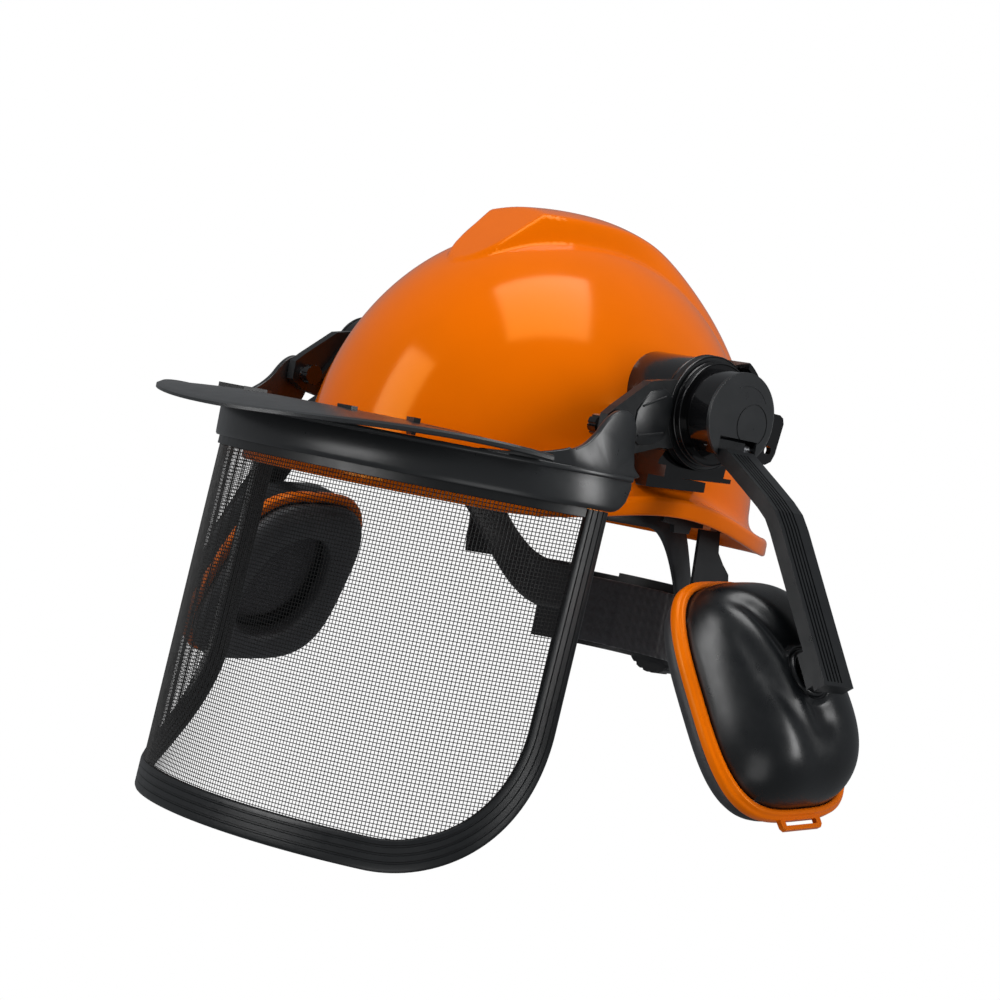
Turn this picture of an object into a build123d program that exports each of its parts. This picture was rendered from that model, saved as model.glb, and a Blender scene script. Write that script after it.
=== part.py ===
"""Forestry helmet with mesh visor and folding ear muffs.

Axes: +X wearer's left, -Y front, +Z up. Origin: centre of the head opening
at rim level. Millimetres. The muffs are modelled in their open position.
"""
from build123d import *
from math import asin, cos, hypot, pi, radians, sin, sqrt
import os

# ---------------- driving dimensions ----------------
DOME = (103.0, 123.5, 132.0)      # outer half axes of the dome
DOME_Z = -5.2                     # height of the dome centre
WALL = 2.6                        # shell wall
RIDGE = (112.0, 121.0, 141.0)     # half axes of the raised crown
RIM_HALF = 117.5                  # rim half width
RIM_LEN = 138.5                   # rim half length
RIM_Y = -7.5                      # rim centre
RIM_N, RIM_N_BACK = 2.5, 2.1      # how square its outline is, front and back
RIM_LOW = -17.2                   # rim lower edge, front and back
RIM_ARCH = 12.0                   # rise of the rim at the sides
ARCH_Y, ARCH_REACH = -7.0, 100.0  # middle and half span of that rise
LIP = 9.6                         # height of the rolled lip

HUB_Y, HUB_Z = -5.6, 46.5         # axis of the side hubs
HUB_R = 26.0                      # hub base radius
HUB_X = 116.0                     # outer face of the hub base
RING_X0, RING_X1 = 116.4, 121.6   # visor arm ring
RING_R = 27.5
DRUM_X0, DRUM_X1 = 122.2, 143.0   # muff drum
DRUM_R = 21.8
AXLE_R = 5.0

BAND_HALF = 131.6                 # visor carrier half width
BAND_LEN = 94.9                   # carrier depth, rear end to front
BAND_Y = -66.2                    # carrier rear ends
BAND_TOP, BAND_H = 9.8, 17.7
BAND_N = 1.95
TILT_Y, TILT_Z = -64.8, 31.0      # axis of the visor tilt pivots
EAR_X0, EAR_X1 = 122.4, 126.4     # carrier ears

SHEET_DROP = 179.3                # visor sheet below the carrier
SHEET_W = 346.0                   # developed width
SHEET_R = 74.5                    # bottom corner radius
SHEET_TILT = 3.5                  # bottom edge forward, degrees
BIND_SIDE, BIND_LOW = 11.0, 14.0  # edge binding widths

PIN_X, PIN_Z = 138.0, 33.0        # fold pin of the muff arm
OPEN = 34.1                       # fold angle of the open position
NOTCH_Y0, NOTCH_Y1 = -17.7, 7.7   # slot in the drum for the strap
ARM_Y0, ARM_Y1 = -17.0, 2.5       # strap width
ARM_T = 7.0                       # strap thickness
ARM_U = 21.8                      # strap centre line, folded in
ARM_END = -135.0                  # strap lower end
BALL_U, BALL_Y, BALL_W = 6.6, -5.0, -121.0
BALL_R, SOCKET_R, SEAT_R = 6.0, 9.1, 9.2   # ball, ring round it, seat in the cup
CUP_U, CUP_Y, CUP_W = -22.6, -5.0, -119.5
CUP_HL, CUP_HW = 59.5, 44.5       # ring half length and half width
CUP_LEAN = 7.0                    # cup leans back, degrees
CUP_DEEP = 33.0                   # cup shell depth outside the ring
SLIDE = 30.0                      # height travel of the cup carriage

KNOB_Z, KNOB_R = -68.0, 23.0
TEETH, PITCH_R = 10, 4.2          # nape pinion

parts = {}


# ---------------- helpers ----------------
def oval(a, b, n, cx=0.0, cy=0.0, count=64):
    pts = []
    for i in range(count):
        t = 2 * pi * i / count
        c, s = cos(t), sin(t)
        pts.append((cx + a * abs(c) ** (2 / n) * (1 if c > 0 else -1),
                    cy + b * abs(s) ** (2 / n) * (1 if s > 0 else -1)))
    return pts


def loop_face(pts3):
    return make_face(Spline(*pts3, periodic=True))


def slab_xy(pts, z0, z1, smooth=True):
    p = [(x, y, z0) for x, y in pts]
    f = loop_face(p) if smooth else make_face(Polyline(*p, close=True))
    return extrude(f, amount=z1 - z0, dir=(0, 0, 1))


def prism_x(pts, x0, x1):
    f = make_face(Polyline(*[(x0, y, z) for y, z in pts], close=True))
    return extrude(f, amount=x1 - x0, dir=(1, 0, 0))


def prism_y(pts, y0, y1):
    f = make_face(Polyline(*[(x, y0, z) for x, z in pts], close=True))
    return extrude(f, amount=y1 - y0, dir=(0, 1, 0))


def block(x0, x1, y0, y1, z0, z1):
    return Pos((x0 + x1) / 2, (y0 + y1) / 2, (z0 + z1) / 2) * Box(
        x1 - x0, y1 - y0, z1 - z0)


def rod_x(r, x0, x1, y, z):
    return Pos((x0 + x1) / 2, y, z) * Rot(0, 90, 0) * Cylinder(r, x1 - x0)


def rod_y(r, y0, y1, x, z):
    return Pos(x, (y0 + y1) / 2, z) * Rot(90, 0, 0) * Cylinder(r, y1 - y0)


def rod_z(r, z0, z1, x, y):
    return Pos(x, y, (z0 + z1) / 2) * Cylinder(r, z1 - z0)


def ellipsoid(a, b, c, x=0.0, y=0.0, z=0.0):
    return Pos(x, y, z) * scale(Sphere(1), by=(a, b, c))


def both(name, shape):
    parts[name + "_left"] = shape
    parts[name + "_right"] = mirror(shape, about=Plane.YZ)


# ---------------- shell ----------------
def arch_z(y):
    share = min(1.0, abs(y - ARCH_Y) / ARCH_REACH)
    return RIM_LOW + RIM_ARCH * (1 + cos(pi * share)) / 2


def arch_band(z_low, z_high, x=200.0):
    ys = [ARCH_Y - 200 + 16 * i for i in range(26)]
    top = [(-x, y, arch_z(y) + z_high) for y in ys]
    low = [(-x, y, arch_z(y) + z_low) for y in ys]
    a, b = Spline(*top), Spline(*low)
    f = make_face([a, b, Line(a @ 0, b @ 0), Line(a @ 1, b @ 1)])
    return extrude(f, amount=2 * x, dir=(1, 0, 0))


def rim_outline(inset):
    """Rim in plan, squarer round the forehead than at the nape."""
    size = (RIM_HALF - inset, RIM_LEN - inset)
    front = oval(*size, RIM_N, cy=RIM_Y)
    back = oval(*size, RIM_N_BACK, cy=RIM_Y)
    return [b if b[1] > RIM_Y else f for f, b in zip(front, back)]


def dome_solid(off=0.0):
    return ellipsoid(DOME[0] - off, DOME[1] - off, DOME[2] - off, z=DOME_Z)


def crown_tongue():
    """Raised crown: tongue plan, slanted front face, sinks into the back."""
    plan = [(0, -82), (12, -78), (21, -69), (28, -56), (33, -40), (35.5, -5),
            (39, 20), (46, 40), (55, 60), (65, 80), (74, 100), (84, 140)]
    full = [(x, y, 40) for x, y in plan] + [(-x, y, 40) for x, y in plan[:0:-1]]
    prism = extrude(make_face(Polyline(*full, close=True)), amount=120,
                    dir=(0, 0, 1))
    wedge = prism_x([(-80, 95.7), (-25.7, 140), (160, 140), (160, 40),
                     (-80, 40)], -80, 80)
    return ellipsoid(*RIDGE, z=DOME_Z) & prism & wedge


def helmet_shell():
    keep = arch_band(LIP - 3.0, 190)
    body = (dome_solid() + crown_tongue()) & keep
    rim, rim_in = rim_outline(0.0), rim_outline(2.4)
    plate = slab_xy(rim, -40, 40) & arch_band(LIP - 3.0, LIP)
    lip = (slab_xy(rim, -40, 40) - slab_xy(rim_in, -45, 45)) & arch_band(0, LIP)
    shell = body + plate + lip
    cavity = ellipsoid(DOME[0] - WALL, DOME[1] - WALL, DOME[2] - WALL, z=DOME_Z)
    hollow = (ellipsoid(RIDGE[0] - WALL, RIDGE[1] - WALL, RIDGE[2] - WALL - 0.6,
                        z=DOME_Z)
              & block(-27, 27, -40, 85, 40, 160))
    shell = shell - cavity - hollow
    return shell - rod_x(AXLE_R + 0.1, -130, 130, HUB_Y, HUB_Z)


def hub_base():
    """Coped boss with its top latch and the lower foot block."""
    core = rod_x(HUB_R, 80, HUB_X, HUB_Y, HUB_Z)
    foot = prism_x([(-27.5, 13), (18, 15.5), (19, 24), (4, 22.5), (-10, 24),
                    (-18, 28), (-24, 26), (-27.5, 20.5)], 98, RING_X0 - 0.5)
    toe = prism_x([(-27.5, 13), (18, 15.5), (18, 17.6), (-6, 17.6),
                   (-27.5, 18.6)], 98, 121.4)
    foot_low = prism_x([(-26, 7), (14, 9), (14, 14), (-26, 13.2)], 98, 109)
    lug = block(104, 128.5, 8, 17, 58, 79)
    lug = lug & rod_x(30.8, 90, 140, HUB_Y, HUB_Z)
    lug = lug - rod_x(RING_R + 0.6, RING_X0 - 0.4, 140, HUB_Y, HUB_Z)
    groove = prism_x([(-33, 50), (-24.3, 50), (-24.3, 53), (-33, 53)], 104, 114)
    base = core + foot + toe + foot_low + lug - groove
    base = base - dome_solid(-0.05)
    return base - rod_x(AXLE_R, 80, 130, HUB_Y, HUB_Z)


def hub_axle():
    pin = rod_x(AXLE_R, 84.0, 141.0, HUB_Y, HUB_Z)
    head = rod_x(8.0, 138.6, 141.0, HUB_Y, HUB_Z)
    return pin + head


def hub_nut():
    nut = Pos(85.4, HUB_Y, HUB_Z) * Rot(0, 90, 0) * extrude(
        RegularPolygon(8.8, 6), amount=1.9, both=True)
    return nut - rod_x(AXLE_R, 80, 90, HUB_Y, HUB_Z)


# ---------------- visor ----------------
def visor_arm():
    ring = rod_x(RING_R, RING_X0, RING_X1, HUB_Y, HUB_Z)
    arm = prism_x([(-71.5, 36.5), (-66.5, 41.0), (-47.8, 55.6), (-39.1, 57.5),
                   (-24, 60), (-18, 46), (-20, 30), (-27.4, 26.4),
                   (-34.5, 26), (-51, 20.6), (-64, 22.5), (-71.5, 27)],
                  RING_X0, RING_X1)
    web = prism_x([(-56, 31), (-45, 48), (-39, 50), (-34.5, 43), (-34.5, 33),
                   (-48, 26)], 113.0, RING_X0 + 0.5)
    arm = arm + ring + web
    arm = arm - rod_x(AXLE_R + 0.05, 110, 125, HUB_Y, HUB_Z)
    arm = arm - rod_x(3.05, 110, 125, TILT_Y, TILT_Z)
    return arm


def drum_detent():
    """Click washer between visor ring and drum, keyed to the axle."""
    w = rod_x(17.0, RING_X1 + 0.1, DRUM_X0 - 0.1, HUB_Y, HUB_Z)
    return w - rod_x(AXLE_R, 110, 130, HUB_Y, HUB_Z)


def band_pts(inset, z, count=40):
    a, b = BAND_HALF - inset, BAND_LEN - inset
    pts = []
    for i in range(count + 1):
        t = pi * i / count
        c, s = cos(t), sin(t)
        pts.append((a * abs(c) ** (2 / BAND_N) * (1 if c > 0 else -1),
                    BAND_Y - b * abs(s) ** (2 / BAND_N), z))
    pts[0] = (a, BAND_Y, z)
    pts[-1] = (-a, BAND_Y, z)
    return pts


def band_wall(out, inn, z0, z1):
    o = Spline(*band_pts(out, z0))
    i = Spline(*band_pts(inn, z0))
    f = make_face([o, i, Line(o @ 0, i @ 0), Line(o @ 1, i @ 1)])
    return extrude(f, amount=z1 - z0, dir=(0, 0, 1))


def visor_carrier():
    low = BAND_TOP - BAND_H
    wall = band_wall(0.8, 2.6, low, BAND_TOP - 2.2)
    ledge = band_wall(0.0, 6.5, BAND_TOP - 2.2, BAND_TOP)
    ear = prism_x([(-104, BAND_TOP - 0.5), (-103, 13.2), (-96, 15.2),
                   (-88.2, 18.7), (-79.9, 24.5), (-75.5, 31), (-72.6, 36),
                   (-69, 38.6), (-65, 39.4), (-61, 38.6), (-57.6, 35.8),
                   (-56.0, 31), (-56.0, 20), (-57.0, BAND_TOP - 0.5)],
                  EAR_X0, EAR_X1)
    ear = ear - rod_x(3.05, 110, 140, TILT_Y, TILT_Z)
    foot = prism_x([(-100, 0.6), (-57.0, 0.6), (-57.0, BAND_TOP),
                    (-100, BAND_TOP)], EAR_X0, EAR_X1)
    tab = prism_x([(-66.5, low), (-60, low + 3), (-56.4, low + 9),
                   (-56.4, BAND_TOP), (-66.5, BAND_TOP)], 127.4, 130.8)
    one = ear + foot + tab
    body = wall + ledge + one + mirror(one, about=Plane.YZ)
    return body


def peak_cap_surface(z_off):
    return ellipsoid(437.7, 183.9, 100.0, y=-130.0, z=-82.3 + z_off)


def half_oval(a, b, y_end, count=40):
    """Front arc of an ellipse about the band centre, ending at y_end."""
    t1 = asin((BAND_Y - y_end) / b)
    pts = []
    for i in range(count + 1):
        t = t1 + (pi - 2 * t1) * i / count
        pts.append((a * cos(t), BAND_Y - b * sin(t)))
    return pts


def crescent(out, inn, z0, z1):
    o = Spline(*[(x, y, z0) for x, y in out])
    i = Spline(*[(x, y, z0) for x, y in inn])
    f = make_face([o, i, Line(o @ 0, i @ 0), Line(o @ 1, i @ 1)])
    return extrude(f, amount=z1 - z0, dir=(0, 0, 1))


def peak_plate():
    plan = crescent(half_oval(135.0, 142.7, -107.5),
                    half_oval(125.5, 88.0, -105.0), -10, 40)
    plate = plan & (peak_cap_surface(0) - peak_cap_surface(-2.4))
    over = band_pts(-0.15, -20)
    front = Spline(*over)
    seat = extrude(make_face([front, Line(front @ 0, front @ 1)]),
                   amount=20 + BAND_TOP + 0.12, dir=(0, 0, 1))
    plate = plate - seat
    slot = crescent(half_oval(130.0, 103.0, -112.0)[1:8],
                    half_oval(128.2, 99.6, -112.0)[1:8], -10, 40)
    return plate - slot - mirror(slot, about=Plane.YZ)


def peak_clips():
    clips = []
    for x, ang in ((-70, 27), (-35, 12), (35, -12), (70, -27)):
        b = BAND_LEN - 3.2
        a = BAND_HALF - 3.2
        y = BAND_Y - b * sqrt(1 - (x / a) ** 2)
        clip = Pos(x, y + 0.5, 16.9) * Rot(0, 0, ang) * Box(15, 3.2, 2.2)
        stem = Pos(x, y + 0.5, 12.9) * Rot(0, 0, ang) * Box(11, 2.0, 6.0)
        clips.append(clip + stem)
    return clips


def sheet_curve():
    """Points and running lengths of the carrier line the sheet follows."""
    a, b = BAND_HALF - 4.9, BAND_LEN - 4.9
    pts, n = [], 400
    for i in range(n + 1):
        t = pi * i / n
        c, s = cos(t), sin(t)
        pts.append((a * abs(c) ** (2 / BAND_N) * (1 if c > 0 else -1),
                    BAND_Y - b * abs(s) ** (2 / BAND_N)))
    run = [0.0]
    for p, q in zip(pts, pts[1:]):
        run.append(run[-1] + hypot(q[0] - p[0], q[1] - p[1]))
    return pts, run


CURVE, RUN = sheet_curve()
SHEET_TOP = BAND_TOP - BAND_H + 6.6
SHEET_LOW = BAND_TOP - BAND_H - SHEET_DROP


def sheet_point(s, z, off=0.0):
    """Point at developed length s from the left end, height z."""
    inside = min(max(s, 1e-6), RUN[-1] - 1e-6)
    i = next(k for k in range(len(RUN) - 1) if RUN[k + 1] >= inside)
    f = (s - RUN[i]) / (RUN[i + 1] - RUN[i])
    (x0, y0), (x1, y1) = CURVE[i], CURVE[i + 1]
    d = hypot(x1 - x0, y1 - y0)
    nx, ny = -(y1 - y0) / d, (x1 - x0) / d
    fall = (SHEET_TOP - z) * sin(radians(SHEET_TILT))
    return (x0 + f * (x1 - x0) + nx * off, y0 + f * (y1 - y0) + ny * off - fall,
            z)


def low_edge(s, grow=0.0):
    """Height of the sheet's lower edge above the developed length s."""
    r = SHEET_R - grow
    left, right = grow + r, RUN[-1] - grow - r
    if s < left:
        d = left - s
    elif s > right:
        d = s - right
    else:
        d = 0.0
    return SHEET_LOW + SHEET_R - sqrt(max(0.0, r * r - d * d))


def sheet_columns(count=44):
    """Developed lengths, packed towards the two ends."""
    half = RUN[-1] / 2
    return [half - half * sin(pi / 2 * (1 - 2 * i / count)) if i * 2 < count
            else half + half * sin(pi / 2 * (2 * i / count - 1))
            for i in range(count + 1)]


def section(points):
    """Closed polygon from (s, z, off) points of the sheet."""
    return Wire.make_polygon([sheet_point(*q) for q in points], close=True)


def visor_mesh():
    cuts = []
    for s in sheet_columns():
        z0 = low_edge(s)
        cuts.append(section([(s, SHEET_TOP, 0.4), (s, z0, 0.4), (s, z0, -0.4),
                             (s, SHEET_TOP, -0.4)]))
    return Solid.make_loft(cuts)


def rim_point(d, v):
    """Distance d along the sheet's free edge, v inside it."""
    r = SHEET_R - v
    total = RUN[-1]
    side = RIM_TOP - (SHEET_LOW + SHEET_R)
    arc = pi / 2 * SHEET_R
    flat = total - 2 * SHEET_R
    if d < side:
        return v, RIM_TOP - d
    if d < side + arc:
        t = (d - side) / SHEET_R
        return SHEET_R - r * cos(t), SHEET_LOW + SHEET_R - r * sin(t)
    if d < side + arc + flat:
        return SHEET_R + d - side - arc, SHEET_LOW + v
    if d < side + 2 * arc + flat:
        t = (d - side - arc - flat) / SHEET_R
        return total - SHEET_R + r * sin(t), SHEET_LOW + SHEET_R - r * cos(t)
    return total - v, SHEET_LOW + SHEET_R + d - side - 2 * arc - flat


RIM_TOP = BAND_TOP - BAND_H - 0.3
RIM_RUN = (2 * (RIM_TOP - SHEET_LOW - SHEET_R) + pi * SHEET_R
           + RUN[-1] - 2 * SHEET_R)


def edge_binding():
    """U-section strip that grips the sheet's free edge on both faces."""
    cuts, count = [], 72
    for i in range(count + 1):
        d = RIM_RUN * i / count
        share = min(1.0, min(d, RIM_RUN - d) / (RIM_RUN * 0.3))
        w = BIND_SIDE + (BIND_LOW - BIND_SIDE) * share
        ring = [(-1.1, -1.9), (-1.1, 1.9), (w, 1.9), (w, 0.5), (-0.1, 0.5),
                (-0.1, -0.5), (w, -0.5), (w, -1.9)]
        cuts.append(section([(*rim_point(d, v), off) for v, off in ring]))
    return Solid.make_loft(cuts)


def top_strip():
    """Strip that clamps the sheet's upper edge inside the carrier."""
    z1, z0 = SHEET_TOP, BAND_TOP - BAND_H - 4.2
    cuts, count = [], 40
    for i in range(count + 1):
        s = BIND_SIDE + 0.6 + (RUN[-1] - 2 * BIND_SIDE - 1.2) * i / count
        cuts.append(section([(s, z1, 0.5), (s, z0, 0.5), (s, z0, 1.5),
                             (s, z1, 1.5)]))
    return Solid.make_loft(cuts)


def tilt_pin():
    return rod_x(3.0, 110.6, 126.0, TILT_Y, TILT_Z)


def tilt_knob():
    knob = rod_x(5.2, 107.5, 112.6, TILT_Y, TILT_Z) - rod_x(
        3.0, 105, 115, TILT_Y, TILT_Z)
    for i in range(8):
        a = 2 * pi * i / 8
        knob -= rod_x(0.7, 105, 115, TILT_Y + 5.4 * cos(a), TILT_Z + 5.4 * sin(a))
    return knob + rod_x(3.0, 107.5, 110.55, TILT_Y, TILT_Z)


# ---------------- ear muffs (left side, folded-in frame) ----------------
def opened(shape):
    """Folded-in frame (hinge at origin, u out, w up) to the open position."""
    return Pos(PIN_X, 0, PIN_Z) * Rot(0, -OPEN, 0) * shape


def muff_drum():
    flange = rod_x(25.0, DRUM_X0, 126.0, HUB_Y, HUB_Z)
    drum = rod_x(DRUM_R, 125.8, DRUM_X1 - 1.5, HUB_Y, HUB_Z)
    tab = prism_x([(12, 52.6), (23.7, 52.4), (26.2, 51.2), (27.3, 48.5),
                   (25.2, 33.5), (23.4, 29.6), (19.6, 27.6), (15, 27.8),
                   (11, 28.6), (5, 40)], 136.6, 139.6)
    tab -= rod_x(2.3, 130, 145, 19.6, 34.6)
    body = flange + drum + tab
    body -= block(129.0, 150, NOTCH_Y0, NOTCH_Y1, 10, 30.0)
    body -= block(133.2, 150, NOTCH_Y0, NOTCH_Y1, 24, 37)
    body -= rod_y(2.0, -21.6, 11.6, PIN_X, PIN_Z)
    body -= rod_x(AXLE_R + 0.05, 118, 139.0, HUB_Y, HUB_Z)
    body -= rod_x(8.6, 134.0, 145.0, HUB_Y, HUB_Z)
    return body


def drum_cap():
    face = rod_x(DRUM_R + 0.3, DRUM_X1 - 1.5, DRUM_X1, HUB_Y, HUB_Z)
    face -= rod_x(10.3, DRUM_X1 - 0.4, 150, 2.0, 44.4) - rod_x(
        9.7, DRUM_X1 - 0.5, 150, 2.0, 44.4)
    return face - block(134.2, 150, NOTCH_Y0, NOTCH_Y1, 10, 37)


def fold_pin():
    return rod_y(2.0, -21.2, 11.2, PIN_X, PIN_Z)


def arm_line():
    return [(0.0, 0.0), (5.1, -11.0), (13.0, -28.0), (18.6, -40.5),
            (21.2, -48.0), (ARM_U, -56.0), (ARM_U, ARM_END)]


def thick_line(line, half):
    left, right = [], []
    for i, (x, z) in enumerate(line):
        a = line[max(0, i - 1)]
        b = line[min(len(line) - 1, i + 1)]
        dx, dz = b[0] - a[0], b[1] - a[1]
        m = hypot(dx, dz)
        nx, nz = -dz / m, dx / m
        left.append((x + nx * half, z + nz * half))
        right.append((x - nx * half, z - nz * half))
    return left + right[::-1]


def strap_groove(y):
    """Shallow groove along the strap's outer face."""
    line = arm_line()[1:-1] + [(ARM_U, ARM_END + 2)]
    outer = thick_line(line, ARM_T / 2 + 0.5)[:len(line)]
    inner = thick_line(line, ARM_T / 2 - 0.55)[:len(line)]
    return prism_y(outer + inner[::-1], y, y + 1.0)


def muff_arm():
    strap = prism_y(thick_line(arm_line(), ARM_T / 2), ARM_Y0, ARM_Y1)
    strap += rod_y(3.6, ARM_Y0, ARM_Y1, 0, 0)
    for i in range(5):
        strap -= strap_groove(ARM_Y0 + 2.4 + 2.3 * i)
    top = BALL_W + 9 + SLIDE + 1
    strap -= block(ARM_U - ARM_T / 2 - 1, ARM_U - 1.4, -9.2, -0.8,
                   BALL_W - 10, top)
    strap -= Rot(0, OPEN, 0) * block(2.6, 9.5, ARM_Y0 - 1, ARM_Y1 + 1, -2, 8)
    return opened(strap - rod_y(2.05, -30, 20, 0, 0))


def cup_carriage():
    key = block(ARM_U - ARM_T / 2 - 0.2, ARM_U - 1.6, -9.0, -1.0,
                BALL_W - 8.8, BALL_W + 8.8)
    plate = block(ARM_U - ARM_T / 2 - 4.2, ARM_U - ARM_T / 2 - 0.15, -16.5, 2.0,
                  BALL_W - 11.5, BALL_W + 5.5)
    neck = Pos((BALL_U + 14.2) / 2 + 2.2, BALL_Y, BALL_W) * Rot(0, 90, 0) * Cylinder(
        3.2, 14.2 - BALL_U + 4)
    ball = Pos(BALL_U, BALL_Y, BALL_W) * Sphere(BALL_R)
    return opened(key + plate + neck + ball)


def swivel():
    """Ring that snaps over the ball, its outside round so the cup can rock."""
    body = Sphere(SOCKET_R) & Box(6.0, 40, 40)
    body -= Sphere(BALL_R + 0.05)
    body -= Pos(4, 0, 0) * Rot(0, 90, 0) * Cylinder(4.6, 6.0)
    return opened(Pos(BALL_U, BALL_Y, BALL_W) * body)


def cup_frame(shape):
    """Cup frame (ring plane x=0, y width, z length) to the folded-in frame."""
    return opened(Pos(CUP_U, CUP_Y, CUP_W) * Rot(CUP_LEAN, 0, 0) * shape)


def cup_outline(hw, hl, n=3.3, skew=0.1, count=48):
    pts = []
    for y, z in oval(hw, hl, n, count=count):
        pts.append((y * (1 - skew * z / hl), z))
    return pts


def cup_section(x, hw, hl, n=3.3):
    return loop_face([(x, y, z) for y, z in cup_outline(hw, hl, n)])


CUP_STEPS = ((0.0, 0.0), (10.0, 1.2), (19.0, 4.6), (26.0, 10.5), (30.5, 18.0),
             (CUP_DEEP, 27.0))


def cup_body(off, depth_off=0.0, base=0.0):
    secs = []
    for i, (x, shrink) in enumerate(CUP_STEPS):
        hx = base if i == 0 else x - depth_off
        n = 3.3 - 0.1 * i
        secs.append(cup_section(hx, CUP_HW - 4.6 - shrink - off,
                                CUP_HL - 4.6 - shrink * 1.2 - off, n))
    return loft(secs)


def socket_seat():
    """Ball centre seen from the cup frame."""
    dy, dz = BALL_Y - CUP_Y, BALL_W - CUP_W
    a = radians(-CUP_LEAN)
    return (BALL_U - CUP_U, dy * cos(a) - dz * sin(a), dy * sin(a) + dz * cos(a))


def cup_shell():
    bx, by, bz = socket_seat()
    outer = cup_body(0.0)
    boss = rod_x(SEAT_R + 2.2, bx - SEAT_R - 2.0, bx + 3.2, by, bz)
    inner = cup_body(2.6, 2.8, base=-1.0)
    body = outer - inner
    body = body + (boss & cup_body(0.2))
    body -= rod_x(SEAT_R - 0.7, bx, bx + 20, by, bz)
    body -= Pos(bx, by, bz) * Sphere(SEAT_R)
    return cup_frame(body)


def cup_ring():
    outer = extrude(cup_section(-5.0, CUP_HW, CUP_HL), amount=6.4, dir=(1, 0, 0))
    inner = extrude(cup_section(-8.0, CUP_HW - 4.4, CUP_HL - 4.4), amount=12,
                    dir=(1, 0, 0))
    lug = block(-3.4, -0.9, -14.5, 14.5, -CUP_HL - 4.8, -CUP_HL + 1.4)
    lug -= block(-5, 1, -11.0, 11.0, -CUP_HL - 2.6, -CUP_HL - 0.3)
    body = (outer - inner) + lug
    return cup_frame(body)


def cup_backplate():
    plate = extrude(cup_section(-4.9, CUP_HW - 4.5, CUP_HL - 4.5), amount=2.2,
                    dir=(1, 0, 0))
    hole = extrude(cup_section(-6, 22, 33, 2.3), amount=9, dir=(1, 0, 0))
    return cup_frame(plate - hole)


def cup_foam():
    foam = extrude(cup_section(0.2, CUP_HW - 12.5, CUP_HL - 12.5), amount=12.0,
                   dir=(1, 0, 0))
    return cup_frame(foam)


def cup_cushion():
    outer = [cup_section(-5.1, CUP_HW - 5.2, CUP_HL - 5.2),
             cup_section(-8.5, CUP_HW - 2.2, CUP_HL - 2.2),
             cup_section(-13.0, CUP_HW - 3.0, CUP_HL - 3.0),
             cup_section(-17.0, CUP_HW - 8.0, CUP_HL - 8.0)]
    body = loft(outer)
    hole = extrude(cup_section(-20, 22, 34, 2.3), amount=30, dir=(1, 0, 0))
    return cup_frame(body - hole)


# ---------------- harness ----------------
def head_oval(a, b, n=2.15, cy=4.0, count=64):
    return oval(a, b, n, cy=cy, count=count)


def ring_band(a, b, t, z0, z1, cy=4.0):
    return (slab_xy(head_oval(a, b, cy=cy), z0, z1)
            - slab_xy(head_oval(a - t, b - t, cy=cy), z0 - 1, z1 + 1))


def headband():
    """Front and side band that carries on down into the nape."""
    band = ring_band(80.0, 99.0, 1.8, -24.0, 1.0)
    front = band & block(-100, 100, -120, 42, -60, 60)
    tall = ring_band(80.0, 99.0, 1.8, -90.0, 1.0)
    sweep = prism_x([(20, 1), (44, 1), (60, -26), (74, -40), (84, -44),
                     (84, -72), (66, -64), (40, -46), (20, -24)], -120, 120)
    side = tall & sweep
    return front + side


def sweatband():
    band = ring_band(77.9, 96.9, 2.2, -23.0, 0.0)
    return band & block(-100, 100, -120, -12, -60, 60)


def nape_band():
    wall = ring_band(82.4, 101.6, 2.2, -84.0, -42.0)
    keep = block(-58, 58, 40, 120, -84, -44) + block(-24, 24, 40, 120, -44, -42)
    wall = wall & keep
    housing = block(-31, 31, 96.0, 111.5, -79, -57) + rod_y(
        18.0, 100.0, 111.5, 0, KNOB_Z)
    housing = housing & block(-60, 60, 90, 120, -84, -45)
    housing = housing - slab_xy(head_oval(82.4, 101.6), -100, -30)
    body = wall + housing
    body -= block(-29.5, 29.5, 105.9, 109.4, KNOB_Z - 7.3, KNOB_Z + 7.3)
    return body - rod_y(4.05, 108, 112, 0, KNOB_Z)


def nape_pad():
    pad = ring_band(79.9, 99.0, 5.0, -82.0, -46.0)
    return pad & block(-44, 44, 40, 120, -82, -46)


def pinion_wheel():
    wheel = rod_y(3.4, 106.2, 109.1, 0, KNOB_Z)
    for i in range(TEETH):
        tooth = Rot(0, 360 * i / TEETH, 0) * Pos(0, 107.65, 4.1) * Box(
            0.7, 2.9, 1.8)
        wheel += Pos(0, 0, KNOB_Z) * tooth
    return wheel


def knob_body():
    knob = rod_y(KNOB_R, 112.0, 121.0, 0, KNOB_Z)
    for i in range(24):
        a = 2 * pi * i / 24
        knob -= rod_y(1.3, 110, 123, (KNOB_R + 0.3) * cos(a),
                      KNOB_Z + (KNOB_R + 0.3) * sin(a))
    knob -= rod_y(15.0, 119.8, 123, 0, KNOB_Z)
    return knob + rod_y(4.0, 109.1, 112.2, 0, KNOB_Z)


def rack_bar():
    """Toothed tail above the pinion; the other rack is it turned half round."""
    pitch = 2 * pi * PITCH_R / TEETH
    bar = block(-16.5, 16.5, 106.2, 109.1, KNOB_Z + 5.3, KNOB_Z + 7.0)
    for i in range(-6, 6):
        x = (i + 0.5) * pitch
        bar += block(x - 0.42, x + 0.42, 106.2, 109.1, KNOB_Z + 3.7,
                     KNOB_Z + 5.4)
    return bar


def nape_hanger():
    """Strap from the shell rim down to the nape band."""
    strap = prism_x([(40.3, -9), (54.5, -9), (56.3, -19.2), (61, -24.5),
                     (66.3, -29.2), (68.0, -36), (66.8, -46), (43.0, -46),
                     (42.4, -41.8)], 84.6, 86.4)
    return strap


STRAP_ANGLE, STRAP_REACH = 52.0, 97.0


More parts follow.
